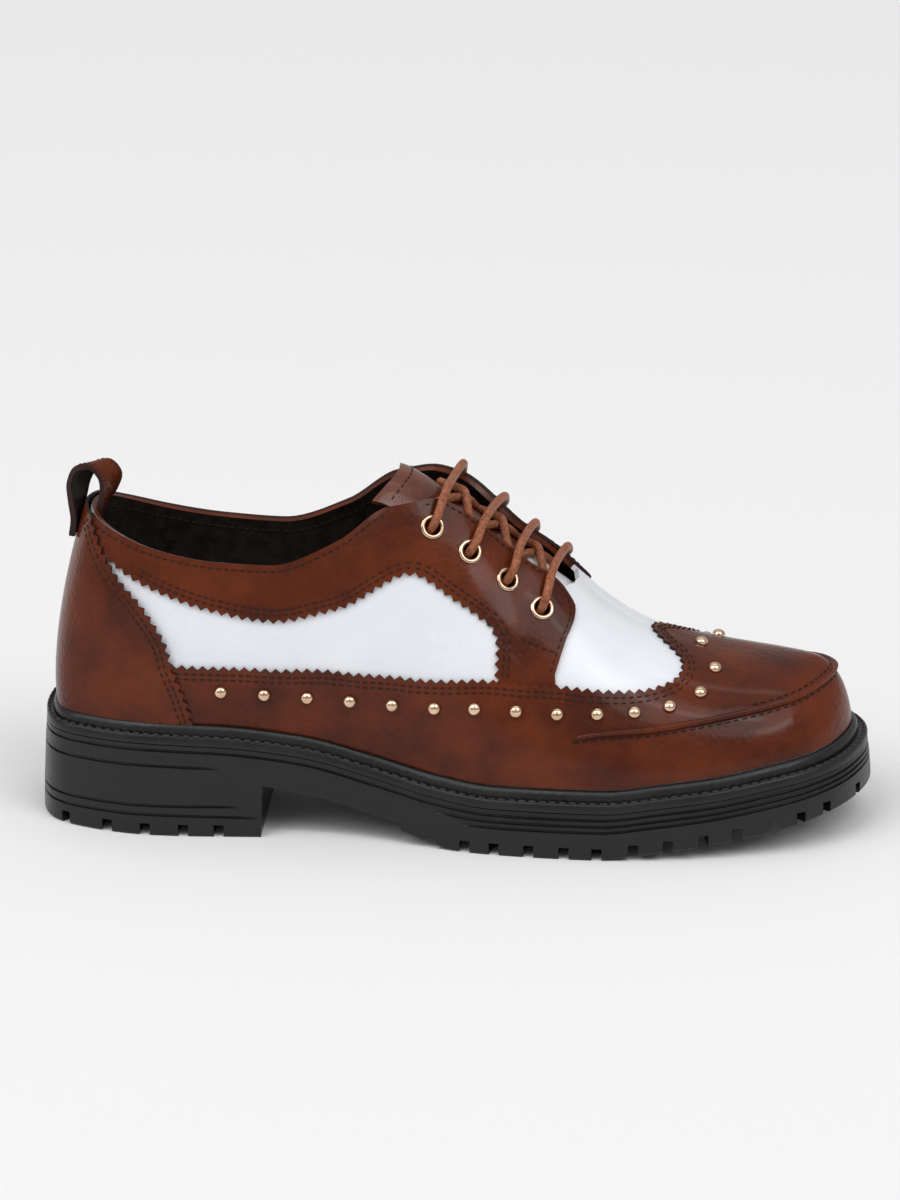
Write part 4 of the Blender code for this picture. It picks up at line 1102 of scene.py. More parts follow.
TOP = WING_OFF + LEATHER  # the outside of the wing and the facings
apron_low, apron_high = round_the_toe(APRON_LOW), round_the_toe(APRON_HIGH)
ridge = swept_ridge("apron_ridge", apron_low, apron_high, TOP, RIDGE_HEIGHT, BROWN)
settle(ridge, "brown_leather", "apron_seam")


# %% [markdown]
# ## Stitches
# A stitch is a short bead of thread. One bead of twenty faces is copied along each seam and all beads of one
# thread are joined, which keeps thousands of stitches light. A dashed texture is lighter still, but it lies flat
# and loses its shadow.

# %% Stitch maker
# A bead of length 1 and radius 1: a point, two rings of five, and a point
BEAD = np.array(
    [(-0.5, 0.0, 0.1)]
    + [(x, math.cos(a), math.sin(a)) for x in (-0.33, 0.33) for a in np.arange(5) * math.tau / 5]
    + [(0.5, 0.0, 0.1)]
)
BEAD_FACES = [(0, 1 + (k + 1) % 5, 1 + k) for k in range(5)]
BEAD_FACES += [(1 + k, 1 + (k + 1) % 5, 6 + (k + 1) % 5, 6 + k) for k in range(5)]
BEAD_FACES += [(11, 6 + k, 6 + (k + 1) % 5) for k in range(5)]
THREAD = 0.00026
STITCH_SHARE = 0.7  # share of the pitch that shows as thread
print("faces in a bead:", len(BEAD_FACES))


def beads_along(points, outs, length, thread=THREAD):
    """Stitch beads between each place and the next, along points with outward directions outs."""
    ahead = unit(np.diff(points, axis=0))
    middle = 0.5 * (points[1:] + points[:-1])
    out = unit(outs[1:] - ahead * (outs[1:] * ahead).sum(1, keepdims=True))
    axes = np.stack([ahead, np.cross(out, ahead), out], 1)
    return middle[:, None] + (BEAD * np.array([length, thread, thread])) @ axes


def seam(line, distance, off, pitch=0.0026, sides=(1, -1)):
    """Beads beside a pattern line, distance metres to its left, on top of off metres of leather."""
    rows = []
    for side in sides:
        places = shifted(walk(line, pitch), distance)
        if side == -1:
            places[:, 0] = STATIONS - places[:, 0]
        round_shoe, up_wall = surface_axes(places)
        points = on_leather(places, off + 0.4 * THREAD)
        rows.append(beads_along(points, np.cross(round_shoe, up_wall), STITCH_SHARE * pitch))
    return np.concatenate(rows)


def sew(name, beads, material, slot):
    """Joins rows of beads to one piece."""
    beads = np.concatenate(beads)
    count = len(BEAD)
    faces = [[corner + k * count for corner in face] for k in range(len(beads)) for face in BEAD_FACES]
    piece = add_piece(name, beads.reshape(-1, 3), faces, [material])
    piece.data.shade_smooth()
    print(name, len(beads), "stitches")
    return settle(piece, slot)


# %% [markdown]
# ## Where the seams run
# Two rows follow each pinked edge, one row the facings, the collar and the lining, and two darker rows the ridge.
# They read the pattern lines again, so a seam can't leave its edge.

# %% Sewing the overlays
# Distances of the seams from their edges, in metres
NEAR, FAR = 0.0021, 0.0039
FACING_SEAM = 0.0016
BESIDE_RIDGE, BEHIND_RIDGE, APRON_PITCH = 0.0006, 0.0010, 0.003
FACING_SEAM_START = 7.4
FACING_TACK = [(8.86, 0.5), (9.2, 0.5), (9.44, 0.503)]
COLLAR_SEAM = [(station, 0.965) for station in np.arange(1.3, 7.3, 0.4)]
LINING_HEM = [(station, 0.93) for station in np.arange(0.8, 7.2, 0.4)]
LINING_JOIN = [(3.0, 0.90), (3.05, 0.8), (3.1, 0.66), (3.1, 0.5)]
COUNTER_TOP = COUNTER_OFF + LEATHER
INSIDE = -WALL - 0.5 * THREAD

beads = []
sewn_band = [*BAND_EDGE, (8.43, 0.36)]
for line, way, off in ((WING_EDGE, -1, TOP), (sewn_band, 1, TOP), (COUNTER_EDGE, -1, COUNTER_TOP)):
    beads += [seam(line, way * distance, off) for distance in (NEAR, FAR)]
for side, line in stay_lines.items():
    rows = [(station, up) for station, up in line if station > FACING_SEAM_START]
    beads.append(seam(rows[::4] + rows[-1:], -FACING_SEAM, TOP, sides=(1,) if side == "outer" else (-1,)))
for line, off in ((FACING_TACK, TOP), (COLLAR_SEAM, TOP), (LINING_HEM, INSIDE), (LINING_JOIN, INSIDE)):
    beads.append(seam(line, 0.0, off))
sew("brown_stitches", beads, BROWN_THREAD, "brown_leather")

apron = [seam(apron_low, -BESIDE_RIDGE, TOP, APRON_PITCH, sides=(1,))]
apron.append(seam(apron_high[2:-2], BEHIND_RIDGE, TOP, APRON_PITCH, sides=(1,)))
sew("apron_stitches", apron, BLACK_THREAD, "brown_leather")

# %% [markdown]
# ## Sole unit
# The unit is moulded black rubber. Its wall is drawn ring by ring, with grooves, then the arch under the waist
# and the gaps between the lugs are cut out, as the mould's cores would leave them. An extruded outline would be
# shorter to write, but the wall's top and foot rise and fall along the shoe.

# %% Rings of the sole's wall
# Side grooves of the sole unit: shares of the side's height below the welt, and where each one runs
SIDE_GROOVES = (
    # share at the heel, share at the ball, ends behind, starts in front
    (0.06, 0.12, 280.0, 0.0),
    (0.23, 0.26, 63.0, 137.0),
    (0.67, 0.39, 70.0, 146.0),
    (0.77, 0.8, 76.0, 280.0),
)
# A groove from its upper lip to its lower one: height in half widths, depth as a share
GROOVE_SECTION = ((1.0, 0.0), (0.5, 0.85), (0.0, 1.0), (-0.5, 0.85), (-1.0, 0.0))
# The wall's lower edge is rounded over this height and depth
EDGE_HEIGHT, EDGE_DEPTH = 0.0007, 0.0006
# Transverse slots of the tread, along in 280ths of SOLE_LENGTH
HEEL_SLOTS = (24.5, 37.6, 50.6, 62.5)
FORE_SLOTS = (134.4, 145.7, 167.2, 179.0, 202.2, 213.7, 236.6, 248.5)
EDGE_NOTCHES = (9.8, 155.7, 190.0, 225.5, 257.5, 266.0, 276.0)


def station_at(along, inner):
    """The station where the ground outline passes x = along."""
    stations = np.linspace(0.0, SIDE_STATIONS, 801)
    if inner:
        stations = STATIONS - stations
    found = np.abs(ground_outline(stations)[:, 0] - along).argmin()
    return stations[found]


FINE_COLUMNS = 224
fine_stations = np.arange(FINE_COLUMNS) * STATIONS / FINE_COLUMNS


def ring_of(points, heights):
    """The points moved to the given heights."""
    return np.concatenate([points[:, :2], np.asarray(heights)[:, None]], -1)


def level_ring(inset, heights):
    return ring_of(inset_outline(fine_stations, inset) - FRAME_SHIFT[:2], heights)


def sole_rings():
    """The sole's wall from the welt down to the tread, ring by ring."""
    along = ground_outline(fine_stations)[:, 0]
    heel = welt_heel_share(along)
    top, low = welt_height(along) - WELT_THICKNESS - CLEARANCE, tread_height(along)
    full = np.full(FINE_COLUMNS, 1.0)
    rings = [level_ring(WELT_INSET * full, top)]
    for heel_share, ball_share, behind, ahead in SIDE_GROOVES:
        share = ball_share + (heel_share - ball_share) * heel
        at_heel = 1 - smooth_step(along, (behind - GROOVE_FADE) * ALONG, behind * ALONG)
        at_ball = smooth_step(along, ahead * ALONG, (ahead + GROOVE_FADE) * ALONG)
        runs = np.maximum(at_heel, at_ball)
        draft = WELT_INSET * (1 - share) ** 2
        middle = top - share * (top - low)
        for high, deep in GROOVE_SECTION:
            rings.append(level_ring(draft + deep * GROOVE_DEPTH * runs, middle + high * GROOVE_HALF))
    rings.append(level_ring(0.0 * full, low + EDGE_HEIGHT))
    rings.append(level_ring(EDGE_DEPTH * full, low))
    return rings


def closed_stack(name, rings, material):
    """Rings stacked from the top down, closed across by strips from side to side."""
    count = len(rings[0])
    faces = []
    for ring in range(len(rings) - 1):
        top, low = ring * count, (ring + 1) * count
        faces += [(top + k, low + k, low + (k + 1) % count, top + (k + 1) % count) for k in range(count)]
    for start, flip in ((0, False), ((len(rings) - 1) * count, True)):
        for k in range(count // 2):
            strip = [start + k, start + k + 1, start + (count - k - 1) % count, start + (count - k) % count]
            strip = list(dict.fromkeys(strip))
            faces.append(strip[::-1] if flip else strip)
    return add_piece(name, np.concatenate(rings), faces, [material])


print("sole rings:", len(sole_rings()))

# %% [markdown]
# ## Cores for the arch and the lugs
# The arch is cut by one long block with its curve on top, and the slots and notches by short bars in one go.
# Insets and extrusions could make the lugs too, but their faces would have to line up with the wall's.

# %% Cores that cut the arch and the lugs
def cut_with(piece, core):
    """Cuts the core out of the piece and removes the core."""
    boolean = piece.modifiers.new("core", "BOOLEAN")
    boolean.operation = "DIFFERENCE"
    boolean.solver = "EXACT"
    boolean.object = core
    apply_all(piece)
    bpy.data.objects.remove(core)


def block_core(plan, height, size, turn=0.0):
    deselect()
    place = (plan[0] - HEEL_CENTRE, plan[1], height - 0.5 * LUG_HEIGHT)
    bpy.ops.mesh.primitive_cube_add(size=1.0, location=place, rotation=(0.0, 0.0, turn), scale=size)
    return bpy.context.object


def join_all(things):
    deselect()
    for thing in things:
        thing.select_set(True)
    bpy.context.view_layer.objects.active = things[0]
    bpy.ops.object.join()
    return bpy.context.object


ARCH = (
    # along, up in 180ths of WAIST_HEIGHT
    (HEEL_BREAST / ALONG, -30.0),
    (HEEL_BREAST / ALONG + 0.8, 180.0),
    (87.0, 167.0),
    (104.0, 125.0),
    (116.5, 89.0),
    (WAIST_STEP, 73.0),
    (WAIST_STEP + 0.3, 51.0),
    (136.0, 16.0),
    (147.5, -1.0),
    (150.0, -30.0),
)
arch = [(along * ALONG - HEEL_CENTRE, high * WAIST_HEIGHT / 180) for along, high in ARCH]
count = len(arch)
arch_points = [(x, y, z) for y in (-BALL_WIDTH, BALL_WIDTH) for x, z in arch]
arch_faces = [list(range(count)), list(range(count, 2 * count))[::-1]]
arch_faces += [(k, k + count, (k + 1) % count + count, (k + 1) % count) for k in range(count)]
arch_core = add_piece("arch_core", arch_points, arch_faces, [RUBBER])
mend(arch_core.data, turn_out=True)

slot_size = (SLOT_WIDTH, 2 * BALL_WIDTH, 3 * LUG_HEIGHT)
notch_size = (NOTCH_LENGTH, SLOT_WIDTH, 3 * LUG_HEIGHT)
lug_cores = []
for along in HEEL_SLOTS + FORE_SLOTS:
    lug_cores.append(block_core((along * ALONG, 0.0), tread_height(along * ALONG), slot_size))
for along in EDGE_NOTCHES:
    for inner in (False, True):
        station = station_at(along * ALONG, inner)
        plan, out = ground_outline(station), outward(station)
        lug_cores.append(block_core(plan, tread_height(plan[0]), notch_size, math.atan2(out[1], out[0])))

sole = closed_stack("sole_unit", sole_rings(), RUBBER)
cut_with(sole, arch_core)
cut_with(sole, join_all(lug_cores))
smooth_by_angle(sole, 30.0)
settle(sole, "black_rubber", "outsole")


# %% [markdown]
# ## Welt
# A flat strip runs round the top of the unit, with a raised rib against the leather and a row of stitches
# outside it. Its section is swept round the last. A bevelled curve keeps one section all round, and this one
# has to follow the leather on its inner side and the sole on its outer side.

# %% Welt and its stitches
RIM = 0.0005  # the flat's outer corner is cut off by this much
RIB_SEAT = 0.0004  # a fine groove beside the rib is this deep
# The rib from its foot to its crest and in towards the leather: out in RIB_WIDTHs, up in RIB_HEIGHTs
RIB_SECTION = ((1.08, 0.5), (0.85, 0.88), (0.5, 1.0), (0.15, 0.93), (0.0, 0.75))
RIB_OUTSIDE, RIB_FOOT = 1.5, 1.2

edge = inset_outline(fine_stations, np.full(FINE_COLUMNS, WELT_INSET))
high = welt_height(edge[:, 0])
out = np.concatenate([outward(fine_stations), np.zeros((FINE_COLUMNS, 1))], -1)
wall_foot = wall_point(fine_stations, np.zeros(FINE_COLUMNS)) + out * CLEARANCE
wall = wall_point(fine_stations, wall_share_at(fine_stations, high + RIB_HEIGHT)) + out * 1.3 * CLEARANCE
beside_rib = wall + out * RIB_OUTSIDE * RIB_WIDTH
section = [
    ring_of(edge, high - WELT_THICKNESS),
    ring_of(edge, high - RIM),
    ring_of(edge - out[:, :2] * RIM, high),
    ring_of(beside_rib, high),
    ring_of(beside_rib, high - RIB_SEAT),
    ring_of(wall + out * RIB_FOOT * RIB_WIDTH, high - RIB_SEAT),
    *(ring_of(wall + out * wide * RIB_WIDTH, high + tall * RIB_HEIGHT) for wide, tall in RIB_SECTION),
    ring_of(wall_foot, high - WELT_THICKNESS),
]
faces = []
for row in range(len(section)):
    low, top = row * FINE_COLUMNS, (row + 1) % len(section) * FINE_COLUMNS
    for k in range(FINE_COLUMNS):
        after = (k + 1) % FINE_COLUMNS
        faces.append((low + k, low + after, top + after, top + k))
welt = add_piece("welt_strip", np.concatenate(section) - FRAME_SHIFT, faces, [RUBBER])
smooth_by_angle(welt, 50.0)
settle(welt, "black_rubber", "welt")

WELT_PITCH, WELT_STITCH, WELT_TWINE = 0.0034, 0.0027, 0.0005
groove = 0.5 * (ring_of(edge, high) + ring_of(beside_rib, high)) - FRAME_SHIFT
groove = np.concatenate([groove, groove[:1]])
legs = lengths_along(groove)
steps = np.linspace(0.0, legs[-1], int(legs[-1] / WELT_PITCH) + 1)
welt_row = np.stack([np.interp(steps, legs, groove[:, k]) for k in range(3)], 1)
up_only = np.tile([0.0, 0.0, 1.0], (len(welt_row), 1))
WELT_THREAD = finish("welt_thread", (0.045, 0.045, 0.043), (0.016, 0.016, 0.015), *TWIST)
welt_beads = beads_along(welt_row, up_only, WELT_STITCH, WELT_TWINE)
sew("welt_stitches", [welt_beads], WELT_THREAD, "black_rubber")

# %% [markdown]
# ## Tongue and vamp tab
# The brown tongue lies under the laces. In front of it the white vamp reaches up between the facings. Both are
# sheets on one arched surface, read from the tongue's crest. Cloth simulation could drape them, but would not
# stop at the seen shape.

# %% Tongue
# Starts and ends along the shoe, in 280ths of SOLE_LENGTH, and thickness in metres
TONGUE_SPAN, TONGUE_LEATHER = (121.0, 170.0), 0.0022
TAB_SPAN, TAB_LEATHER, TAB_LIFT = (164.0, 190.0), 0.0013, 0.0003
# The tongue's end dips under the tab, and its inner corner is cut back
TONGUE_DIP, TONGUE_TRIM = 0.0016, 5.0
SHEET_ROWS, SHEET_COLUMNS = 44, 41
tongue_alongs = [row[0] for row in TONGUE_CREST]
tongue_rows = [height_curve(tongue_alongs, [row[k] for row in TONGUE_CREST]) for k in (1, 2, 3, 4)]


def tongue_point(along, side):
    """The tongue's outer surface: side runs from -1 at its outer edge to 1 at its inner edge."""
    up, half, radius, shift = (rows(along) for rows in tongue_rows)
    half, radius = half * BALL_SIDE, radius * BALL_SIDE
    across = side * half
    drop = radius - np.sqrt(radius**2 - across**2)
    front = np.clip((along - TONGUE_CREST[0][0] * ALONG) / (0.14 * SOLE_LENGTH), 0.0, 1.0)
    x = along - TONGUE_SLANT * side**2 * (1 - front)
    return np.stack([x, shift * BALL_SIDE + across, up * UP - drop], -1)


def tongue_out(along, side):
    """The unit vector that points out of the tongue."""
    step = 0.001
    run = tongue_point(along + step, side) - tongue_point(along - step, side)
    cross = tongue_point(along, side + step) - tongue_point(along, side - step)
    return unit(np.cross(run, cross))


def tongue_sheet(name, span, lift, thickness, materials, dip=0.0, trim=0.0):
    """A sheet on the tongue's surface over the span; dip lowers its end, trim cuts back an inner corner."""
    start, end = span
    sides = np.linspace(-1.0, 1.0, SHEET_COLUMNS)
    shares = np.linspace(0.0, 1.0, SHEET_ROWS)[:, None]
    starts = (start + trim * smooth_step(sides, 0.15, 1.0)) * ALONG
    alongs = starts + (end * ALONG - starts) * shares
    grid = tongue_point(alongs, np.broadcast_to(sides, alongs.shape))
    grid[..., 2] += lift - dip * smooth_step(grid[..., 0], (end - 12) * ALONG, (end - 4) * ALONG)
    points = grid.reshape(-1, 3) - FRAME_SHIFT
    return thicken(add_piece(name, points, sheet_faces(SHEET_ROWS, SHEET_COLUMNS), materials), thickness, -1.0)


skin = [TONGUE_BROWN, LINING, TONGUE_BROWN]
tongue = tongue_sheet("tongue_leather", TONGUE_SPAN, 0.0, TONGUE_LEATHER, skin, TONGUE_DIP, TONGUE_TRIM)
settle(tongue, "brown_leather", "tongue")
tab = tongue_sheet("vamp_tab", TAB_SPAN, TAB_LIFT, TAB_LEATHER, [WHITE, LINING, WHITE])
settle(tab, "white_leather")

HEM, HEM_STITCH, ON_TOP = 0.0042, 0.0019, 0.0001
hem_along = TONGUE_SPAN[0] * ALONG + HEM
sides = np.linspace(-0.93, 0.93, 15)
tongue_outs = np.array([tongue_out(hem_along, side) for side in sides])
tongue_line = np.array([tongue_point(hem_along, side) for side in sides]) + tongue_outs * ON_TOP - FRAME_SHIFT
sew("tongue_stitches", [beads_along(tongue_line, tongue_outs, HEM_STITCH)], BROWN_THREAD, "brown_leather")

# %% [markdown]
# ## Pull loop
# A folded strap is sewn inside and outside the top of the heel. It turns as it rises, as the real one does. Its
# middle line and one edge are smooth curves, and the strap is the sheet between them and their mirror image.

# %% Pull loop
# The folded strap: depth from the heel's outside (0) to its inside (1), up in 106ths of UPPER_HEIGHT
PULL_LOOP = (
    # depth, up, turn in degrees
    (0.0, 95.0, 0.0),
    (-0.05, 101.0, 8.0),
    (-0.22, 107.0, 22.0),
    (-0.12, 113.5, 38.0),
    (0.3, 118.3, 45.0),
    (0.9, 119.0, 45.0),
    (1.4, 115.5, 38.0),
    (1.35, 110.0, 22.0),
    (1.08, 105.0, 8.0),
    (1.0, 99.0, 0.0),
)

LOOP_OFF = 0.0007  # the strap stands this much further off the heel than the overlays need
LOOP_ROWS, LOOP_COLUMNS = 73, 11
LOOP_SEAM, LOOP_STITCHES, LOOP_STITCH = 0.78, 34, 0.0013

shares = np.linspace(0.5, 1.0, 101)
heel = wall_point(np.zeros(shares.shape), shares)
seat = CLEARANCE + 0.5 * STRAP_THICKNESS
through = OVERLAY + CLEARANCE + WALL + 2 * seat + STRAP_SEAT
centres, edges = [], []
for depth, up, turn in PULL_LOOP:
    outside = np.interp(up * UP, heel[:, 2], heel[:, 0]) - OVERLAY - CLEARANCE - seat - LOOP_OFF
    centre = np.array([outside + through * depth, 0.0, up * UP])
    centres.append(centre)
    turned = math.radians(turn)
    edges.append(centre + 0.5 * STRAP_WIDTH * np.array([math.sin(turned), math.cos(turned), 0.0]))
middle, edge_path = smooth_path(centres, LOOP_ROWS - 1), smooth_path(edges, LOOP_ROWS - 1)
half_strap = edge_path - middle
strap = middle[:, None] + half_strap[:, None] * np.linspace(-1.0, 1.0, LOOP_COLUMNS)[None, :, None]
strap = strap.reshape(-1, 3) - FRAME_SHIFT
loop = add_piece("pull_strap", strap, sheet_faces(LOOP_ROWS, LOOP_COLUMNS), [BROWN, LINING, CUT_EDGE])
settle(thicken(loop, STRAP_THICKNESS, 0.0), "brown_leather", "pull_loop")

strap_normals = unit(np.cross(np.gradient(middle, axis=0), half_strap))
loop_beads = []
for side in (-LOOP_SEAM, LOOP_SEAM):
    for face in (1.0, -1.0):
        row = middle + half_strap * side + strap_normals * face * 0.5 * STRAP_THICKNESS
        outs = smooth_path(strap_normals * face, LOOP_STITCHES)
        loop_beads.append(beads_along(smooth_path(row, LOOP_STITCHES) - FRAME_SHIFT, outs, LOOP_STITCH))
sew("strap_stitches", loop_beads, BROWN_THREAD, "brown_leather")


# %% [markdown]
# ## Studs and eyelets
# Each stud is a polished dome that sits in the leather, and each eyelet a rolled ring. One of each is turned from
# its profile and copied to its places, square to the leather there. A Screw modifier turns the same shape.

# %% Turned metal parts
def turned_mesh(profile, steps):
    """A closed body turned round z from (radius, height) rows."""
    points, faces = [], []
    for turn in range(steps):
        angle = math.tau * turn / steps
        points += [(r * math.cos(angle), r * math.sin(angle), z) for r, z in profile]
    count = len(profile)
    for turn in range(steps):
        first, second = turn * count, (turn + 1) % steps * count
        for k in range(count):
            after = (k + 1) % count
            faces.append((first + k, second + k, second + after, first + after))
    return np.array(points), faces


def frames_on_wall(places, off):
    """Origins and three axes at each place, the third pointing out of the leather."""
    places = np.array(places)
    round_shoe, up_wall = surface_axes(places)
    along, out = unit(round_shoe), unit(np.cross(round_shoe, up_wall))
    return on_leather(places, off), np.stack([along, np.cross(out, along), out], 1)


def place_copies(name, points, faces, places, material, prefix):
    """One piece of equal copies on the wing and the facings, for the solids whose names start with prefix."""
    origins, axes = frames_on_wall(places, TOP)
    copies = origins[:, None] + points @ axes
    every = [[corner + k * len(points) for corner in face] for k in range(len(origins)) for face in faces]
    piece = add_piece(name, copies.reshape(-1, 3), every, [material], weld=1e-6)
    mend(piece.data, sliver=1e-7, turn_out=True)
    smooth_by_angle(piece, 50.0)
    nodes = [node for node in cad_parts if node.startswith(prefix)]
    return settle(piece, "pale_gold", *nodes)


print("stud:", 2 * STUD_RADIUS, "wide, eyelet bore:", 2 * EYELET_BORE)

# %% Studs
dome = [(1e-6, 0.0)]
dome += [(STUD_RADIUS * math.cos(a), STUD_HEIGHT * (math.sin(a) + 0.1)) for a in np.linspace(0.0, 1.5, 10)]
dome += [(1e-6, 1.1 * STUD_HEIGHT)]
stud_points, stud_faces = turned_mesh(dome, 20)
stud_places = list(STUDS) + mirrored(STUDS) + [CENTRE_STUD]
place_copies("domed_studs", stud_points, stud_faces, stud_places, GOLD, "stud_")

# %% Eyelets
ROLL = 0.5 * (EYELET_FLANGE - EYELET_BORE)
ROLL_HEIGHT, ROLL_LIFT = 0.00065, 0.0001
BARREL_DEPTH, BARREL_WALL, BARREL_ROOT = 0.0030, 0.0003, EYELET_BORE + 0.0004
turns = np.linspace(0.0, math.pi, 9)
roll = [(EYELET_BORE + ROLL + ROLL * math.cos(a), ROLL_HEIGHT * math.sin(a) + ROLL_LIFT) for a in turns]
roll += [(EYELET_BORE, -BARREL_DEPTH), (EYELET_BORE + BARREL_WALL, -BARREL_DEPTH), (BARREL_ROOT, 0.0)]
ring_points, ring_faces = turned_mesh(roll, 28)
ring_places = list(eyelet_places("outer")) + list(eyelet_places("inner"))
# The rings get the darkened copy of the studs' gold, which paints their shade into the colour
place_copies("rolled_eyelets", ring_points, ring_faces, ring_places, SHADED_RING_GOLD, "eyelet_")


# %% [markdown]
# ## Laces
# Waxed round cord. Four bars cross the top: each rises through an outer eyelet, lies over both facings and goes
# down through the inner eyelet. Under them the same cord crosses over the tongue. Each piece of cord is a curve
# with a bevel, which is the plain way to make a tube, and is then made a mesh.

# %% Lace tubes
# A bar passes the near and the far facing's edge this many stations in front of its eyelets
NEAR_LEAD = 0.15
FAR_LEAD = 0.38
RISE_OUT = 0.0026  # how far it stands out of an eyelet before it bends over
FACING_POINTS = 6  # points of a facing's edge that lie beside the throat


def lace(name, points, nodes):
    """A round cord along the smooth path through the points."""
    path = smooth_path(points, 60) - FRAME_SHIFT
    curve = bpy.data.curves.new(name, "CURVE")
    curve.dimensions = "3D"
    curve.bevel_depth = LACE_RADIUS
    curve.bevel_resolution = 3
    curve.use_fill_caps = True
    spline = curve.splines.new("POLY")
    spline.points.add(len(path) - 1)
    for point, place in zip(spline.points, path):
        point.co = (*place, 1.0)
    curve.materials.append(CORD)
    thing = link_new(name, curve)
    deselect()
    thing.select_set(True)
    bpy.context.view_layer.objects.active = thing
    bpy.ops.object.convert(target="MESH")
    thing = bpy.context.object
    thing.data.shade_smooth()
    return settle(thing, "waxed_cord", *nodes)


def edge_share(edge, station):
    """How far up the wall a facing's edge lies at the station."""
    stations, ups = zip(*edge[:FACING_POINTS])
    return float(np.interp(station, stations, ups))


def bar_points(number):
    """Up through the outer eyelet, straight over both facings and back down to the inner eyelet."""
    station, up = EYELETS[number]
    seat = TOP + LACE_RADIUS
    near_edge = edge_share(OUTER_FACING_EDGE, station + NEAR_LEAD)
    far_edge = edge_share(INNER_FACING_EDGE, station + FAR_LEAD)
    start = upper_point(station, up, 0.0)
    near = upper_point(station + NEAR_LEAD, near_edge - 0.01, seat + 0.0009)
    far = upper_point(STATIONS - station - FAR_LEAD, far_edge - 0.008, seat + 0.0005)
    over = upper_point(STATIONS - station - 0.9 * FAR_LEAD, far_edge - 0.075, seat + 0.0003)
    end = upper_point(STATIONS - station, up + INNER_EYELET_UP, 0.0)
    sink = upper_point(station - 0.04, up - 0.006, -0.004)
    out = unit(start - upper_point(station, up, -0.002))
    far_out = unit(end - upper_point(STATIONS - station, up + INNER_EYELET_UP, -0.002))
    rise = start + RISE_OUT * out + 0.12 * (near - start)
    middle = 0.5 * (near + far) + np.array([0.0, 0.0, 0.9 * LACE_RADIUS])
    fall = end + RISE_OUT * far_out + 0.2 * (far - end)
    far_sink = upper_point(STATIONS - station, up + INNER_EYELET_UP - 0.004, -0.0022)
    return [sink, start + 0.0006 * out, rise, near, middle, far, over, fall, end + 0.0006 * far_out, far_sink]


for number in range(len(EYELETS)):
    lace(f"lace_over_{number + 1}", bar_points(number), [f"lace_bar_{number + 1}"])

# %% [markdown]
# ## Crossings under the bars
# Between two bars the cord crosses the tongue twice. The second leg rises over the first where they meet and
# presses a little into it, as soft cord does. Two straight legs would run right through each other.

# %% Crossings over the tongue
REACH = 0.0105  # how far a leg goes to each side, in metres
LEG_POINTS = 7
HUMP_WIDTH = 0.22  # share of the leg over which it rises
for number in range(len(EYELETS) - 1):
    low = upper_point(*EYELETS[number])[0] + CROSSING_START - 0.002
    high_end = upper_point(*EYELETS[number + 1])[0] - CROSSING_END + 0.001
    for leg, (start, end) in enumerate(((low, high_end), (high_end, low))):
        points = []
        for part in np.linspace(0.0, 1.0, LEG_POINTS):
            along = start + (end - start) * part
            side = (2 * part - 1) * REACH / (tongue_rows[1](along) * BALL_SIDE)
            hump = math.exp(-(((part - 0.5) / HUMP_WIDTH) ** 2))
            off = LACE_RADIUS + ON_TOP + leg * 1.5 * LACE_RADIUS * hump
            points.append(tongue_point(along, side) + tongue_out(along, side) * off)
        lace(f"lace_under_{number + 1}_{leg + 1}", points, [f"lace_crossing_{number + 1}"])

# %% [markdown]
# ## Inside
# The sock lining is the frame's own insole, which is flat and hidden at its edges, so it only needs its finish.

# %% Sock lining
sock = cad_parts["insole"].data
sock.materials.clear()
sock.materials.append(SOCK)

# %% [markdown]
# ## Studio
# A pale floor and large soft lamps, as in a catalogue picture. Two wide suns light the front, so that shadows
# stay pale, and narrow soft boxes draw the bright lines on the polished leather. One image for the sky would
# light it too, but this scene carries no images.

# %% Floor and lights
HORIZON_LIGHT = 0.42
ZENITH_LIGHT = 0.64
AIM = (0.09, 0.0, 0.05)
PAPER_WHITE = 0.84

deselect()
bpy.ops.mesh.primitive_plane_add(size=12.0, location=(0.0, 0.0, 0.0))
floor = bpy.context.object
floor.name = "studio_floor"
paper = bpy.data.materials.new("floor_paper")
paper.use_nodes = True
matt = paper.node_tree.nodes["Principled BSDF"].inputs
matt["Base Color"].default_value = (PAPER_WHITE, PAPER_WHITE, PAPER_WHITE, 1.0)
matt["Roughness"].default_value = 0.9
matt["Specular IOR Level"].default_value = 0.1
floor.data.materials.append(paper)

world = bpy.data.worlds.new("studio")
bpy.context.scene.world = world
world.use_nodes = True
sky = world.node_tree
direction = sky.nodes.new("ShaderNodeTexCoord").outputs["Generated"]
split = sky.nodes.new("ShaderNodeSeparateXYZ")
glow = sky.nodes.new("ShaderNodeMapRange")
glow.inputs["To Min"].default_value = HORIZON_LIGHT
glow.inputs["To Max"].default_value = ZENITH_LIGHT
sky.links.new(direction, split.inputs[0])
steep = sky.nodes.new("ShaderNodeMath")
steep.operation = "MULTIPLY"
for socket in (0, 1):
    sky.links.new(split.outputs["Z"], steep.inputs[socket])
sky.links.new(steep.outputs[0], glow.inputs["Value"])
sky.links.new(glow.outputs["Result"], sky.nodes["Background"].inputs["Strength"])
sky.nodes["Background"].inputs["Color"].default_value = (1.0, 1.0, 1.0, 1.0)


def add_lamp(name, lamp, place):
    """Links a lamp at its place and turns it to the shoe."""
    thing = link_new(name, lamp)
    thing.location = place
    thing.rotation_euler = (Vector(place) - Vector(AIM)).to_track_quat("Z", "Y").to_euler()


def wide_sun(name, place, strength, degrees):
    lamp = bpy.data.lights.new(name, "SUN")
    lamp.energy = strength
    lamp.angle = math.radians(degrees)
    add_lamp(name, lamp, place)


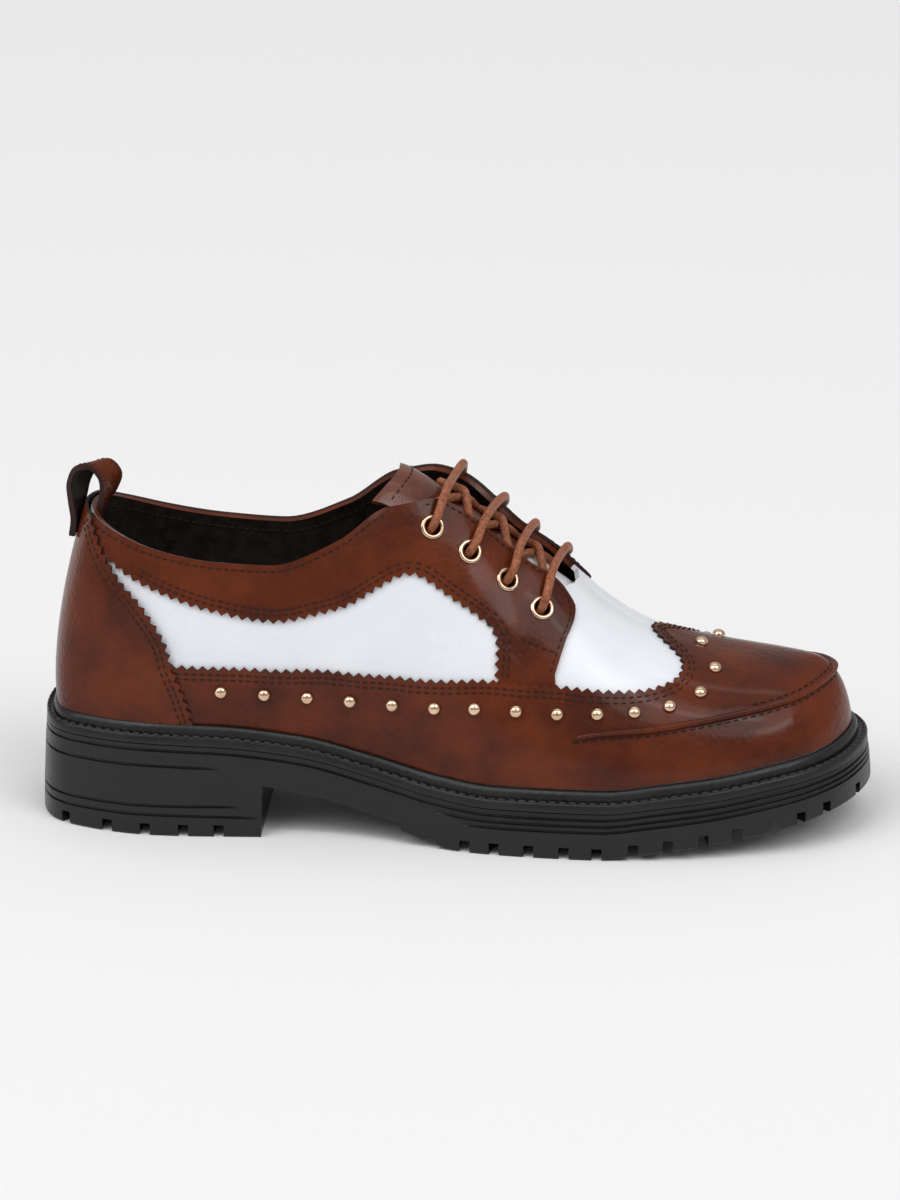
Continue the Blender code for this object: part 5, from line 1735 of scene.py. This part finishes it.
def soft_box(name, place, size, power):
    lamp = bpy.data.lights.new(name, "AREA")
    lamp.shape = "RECTANGLE"
    lamp.size, lamp.size_y = size
    lamp.energy = power
    add_lamp(name, lamp, place)


wide_sun("key", (-0.9, -1.1, 1.6), 0.84, 40.0)
wide_sun("fill", (1.1, -1.0, 1.7), 0.74, 40.0)
soft_box("top_strip", (0.2, 0.35, 1.5), (1.3, 0.12), 1.0)
soft_box("front_box", (0.02, -0.62, 1.32), (1.8, 0.12), 2.6)
soft_box("left_strip", (-1.4, -0.5, 0.8), (0.16, 1.0), 2.0)
soft_box("right_box", (1.3, -0.9, 1.1), (0.8, 0.25), 1.8)
bpy.context.scene.view_settings.view_transform = "Standard"
print("lamps:", len(bpy.data.lights))

# %% [markdown]
# ## Camera
# The photo was taken with a long lens from a little above, so the camera stands well back, looks 19 degrees down
# and is 4 degrees round from square to the shoe's side. Its lens follows from the height that the frame covers.

# %% Camera
LOOK_ROUND, LOOK_DOWN = math.radians(4.0), math.radians(19.0)
DISTANCE = 2.4
FRAME_HEIGHT = 0.4073
SENSOR = 36.0
# The frame's middle, moved left and up from under the middle of the sole
MOVE_LEFT, MOVE_UP = 0.0022, 0.0697
MIDDLE = Vector((0.5 * SOLE_LENGTH - HEEL_CENTRE, 0.0, 0.0))
level = math.cos(LOOK_DOWN)
back = Vector((math.sin(LOOK_ROUND) * level, -math.cos(LOOK_ROUND) * level, math.sin(LOOK_DOWN)))
right = Vector((math.cos(LOOK_ROUND), math.sin(LOOK_ROUND), 0.0))
upward = back.cross(right)
camera = link_new("camera", bpy.data.cameras.new("camera"))
camera.location = MIDDLE - right * MOVE_LEFT + upward * MOVE_UP + back * DISTANCE
camera.rotation_euler = back.to_track_quat("Z", "Y").to_euler()
camera.data.sensor_fit = "VERTICAL"
camera.data.sensor_height = SENSOR
camera.data.lens = SENSOR * DISTANCE / FRAME_HEIGHT
camera.data.clip_start = 0.05
bpy.context.scene.camera = camera
print("lens:", round(camera.data.lens, 1), "mm")
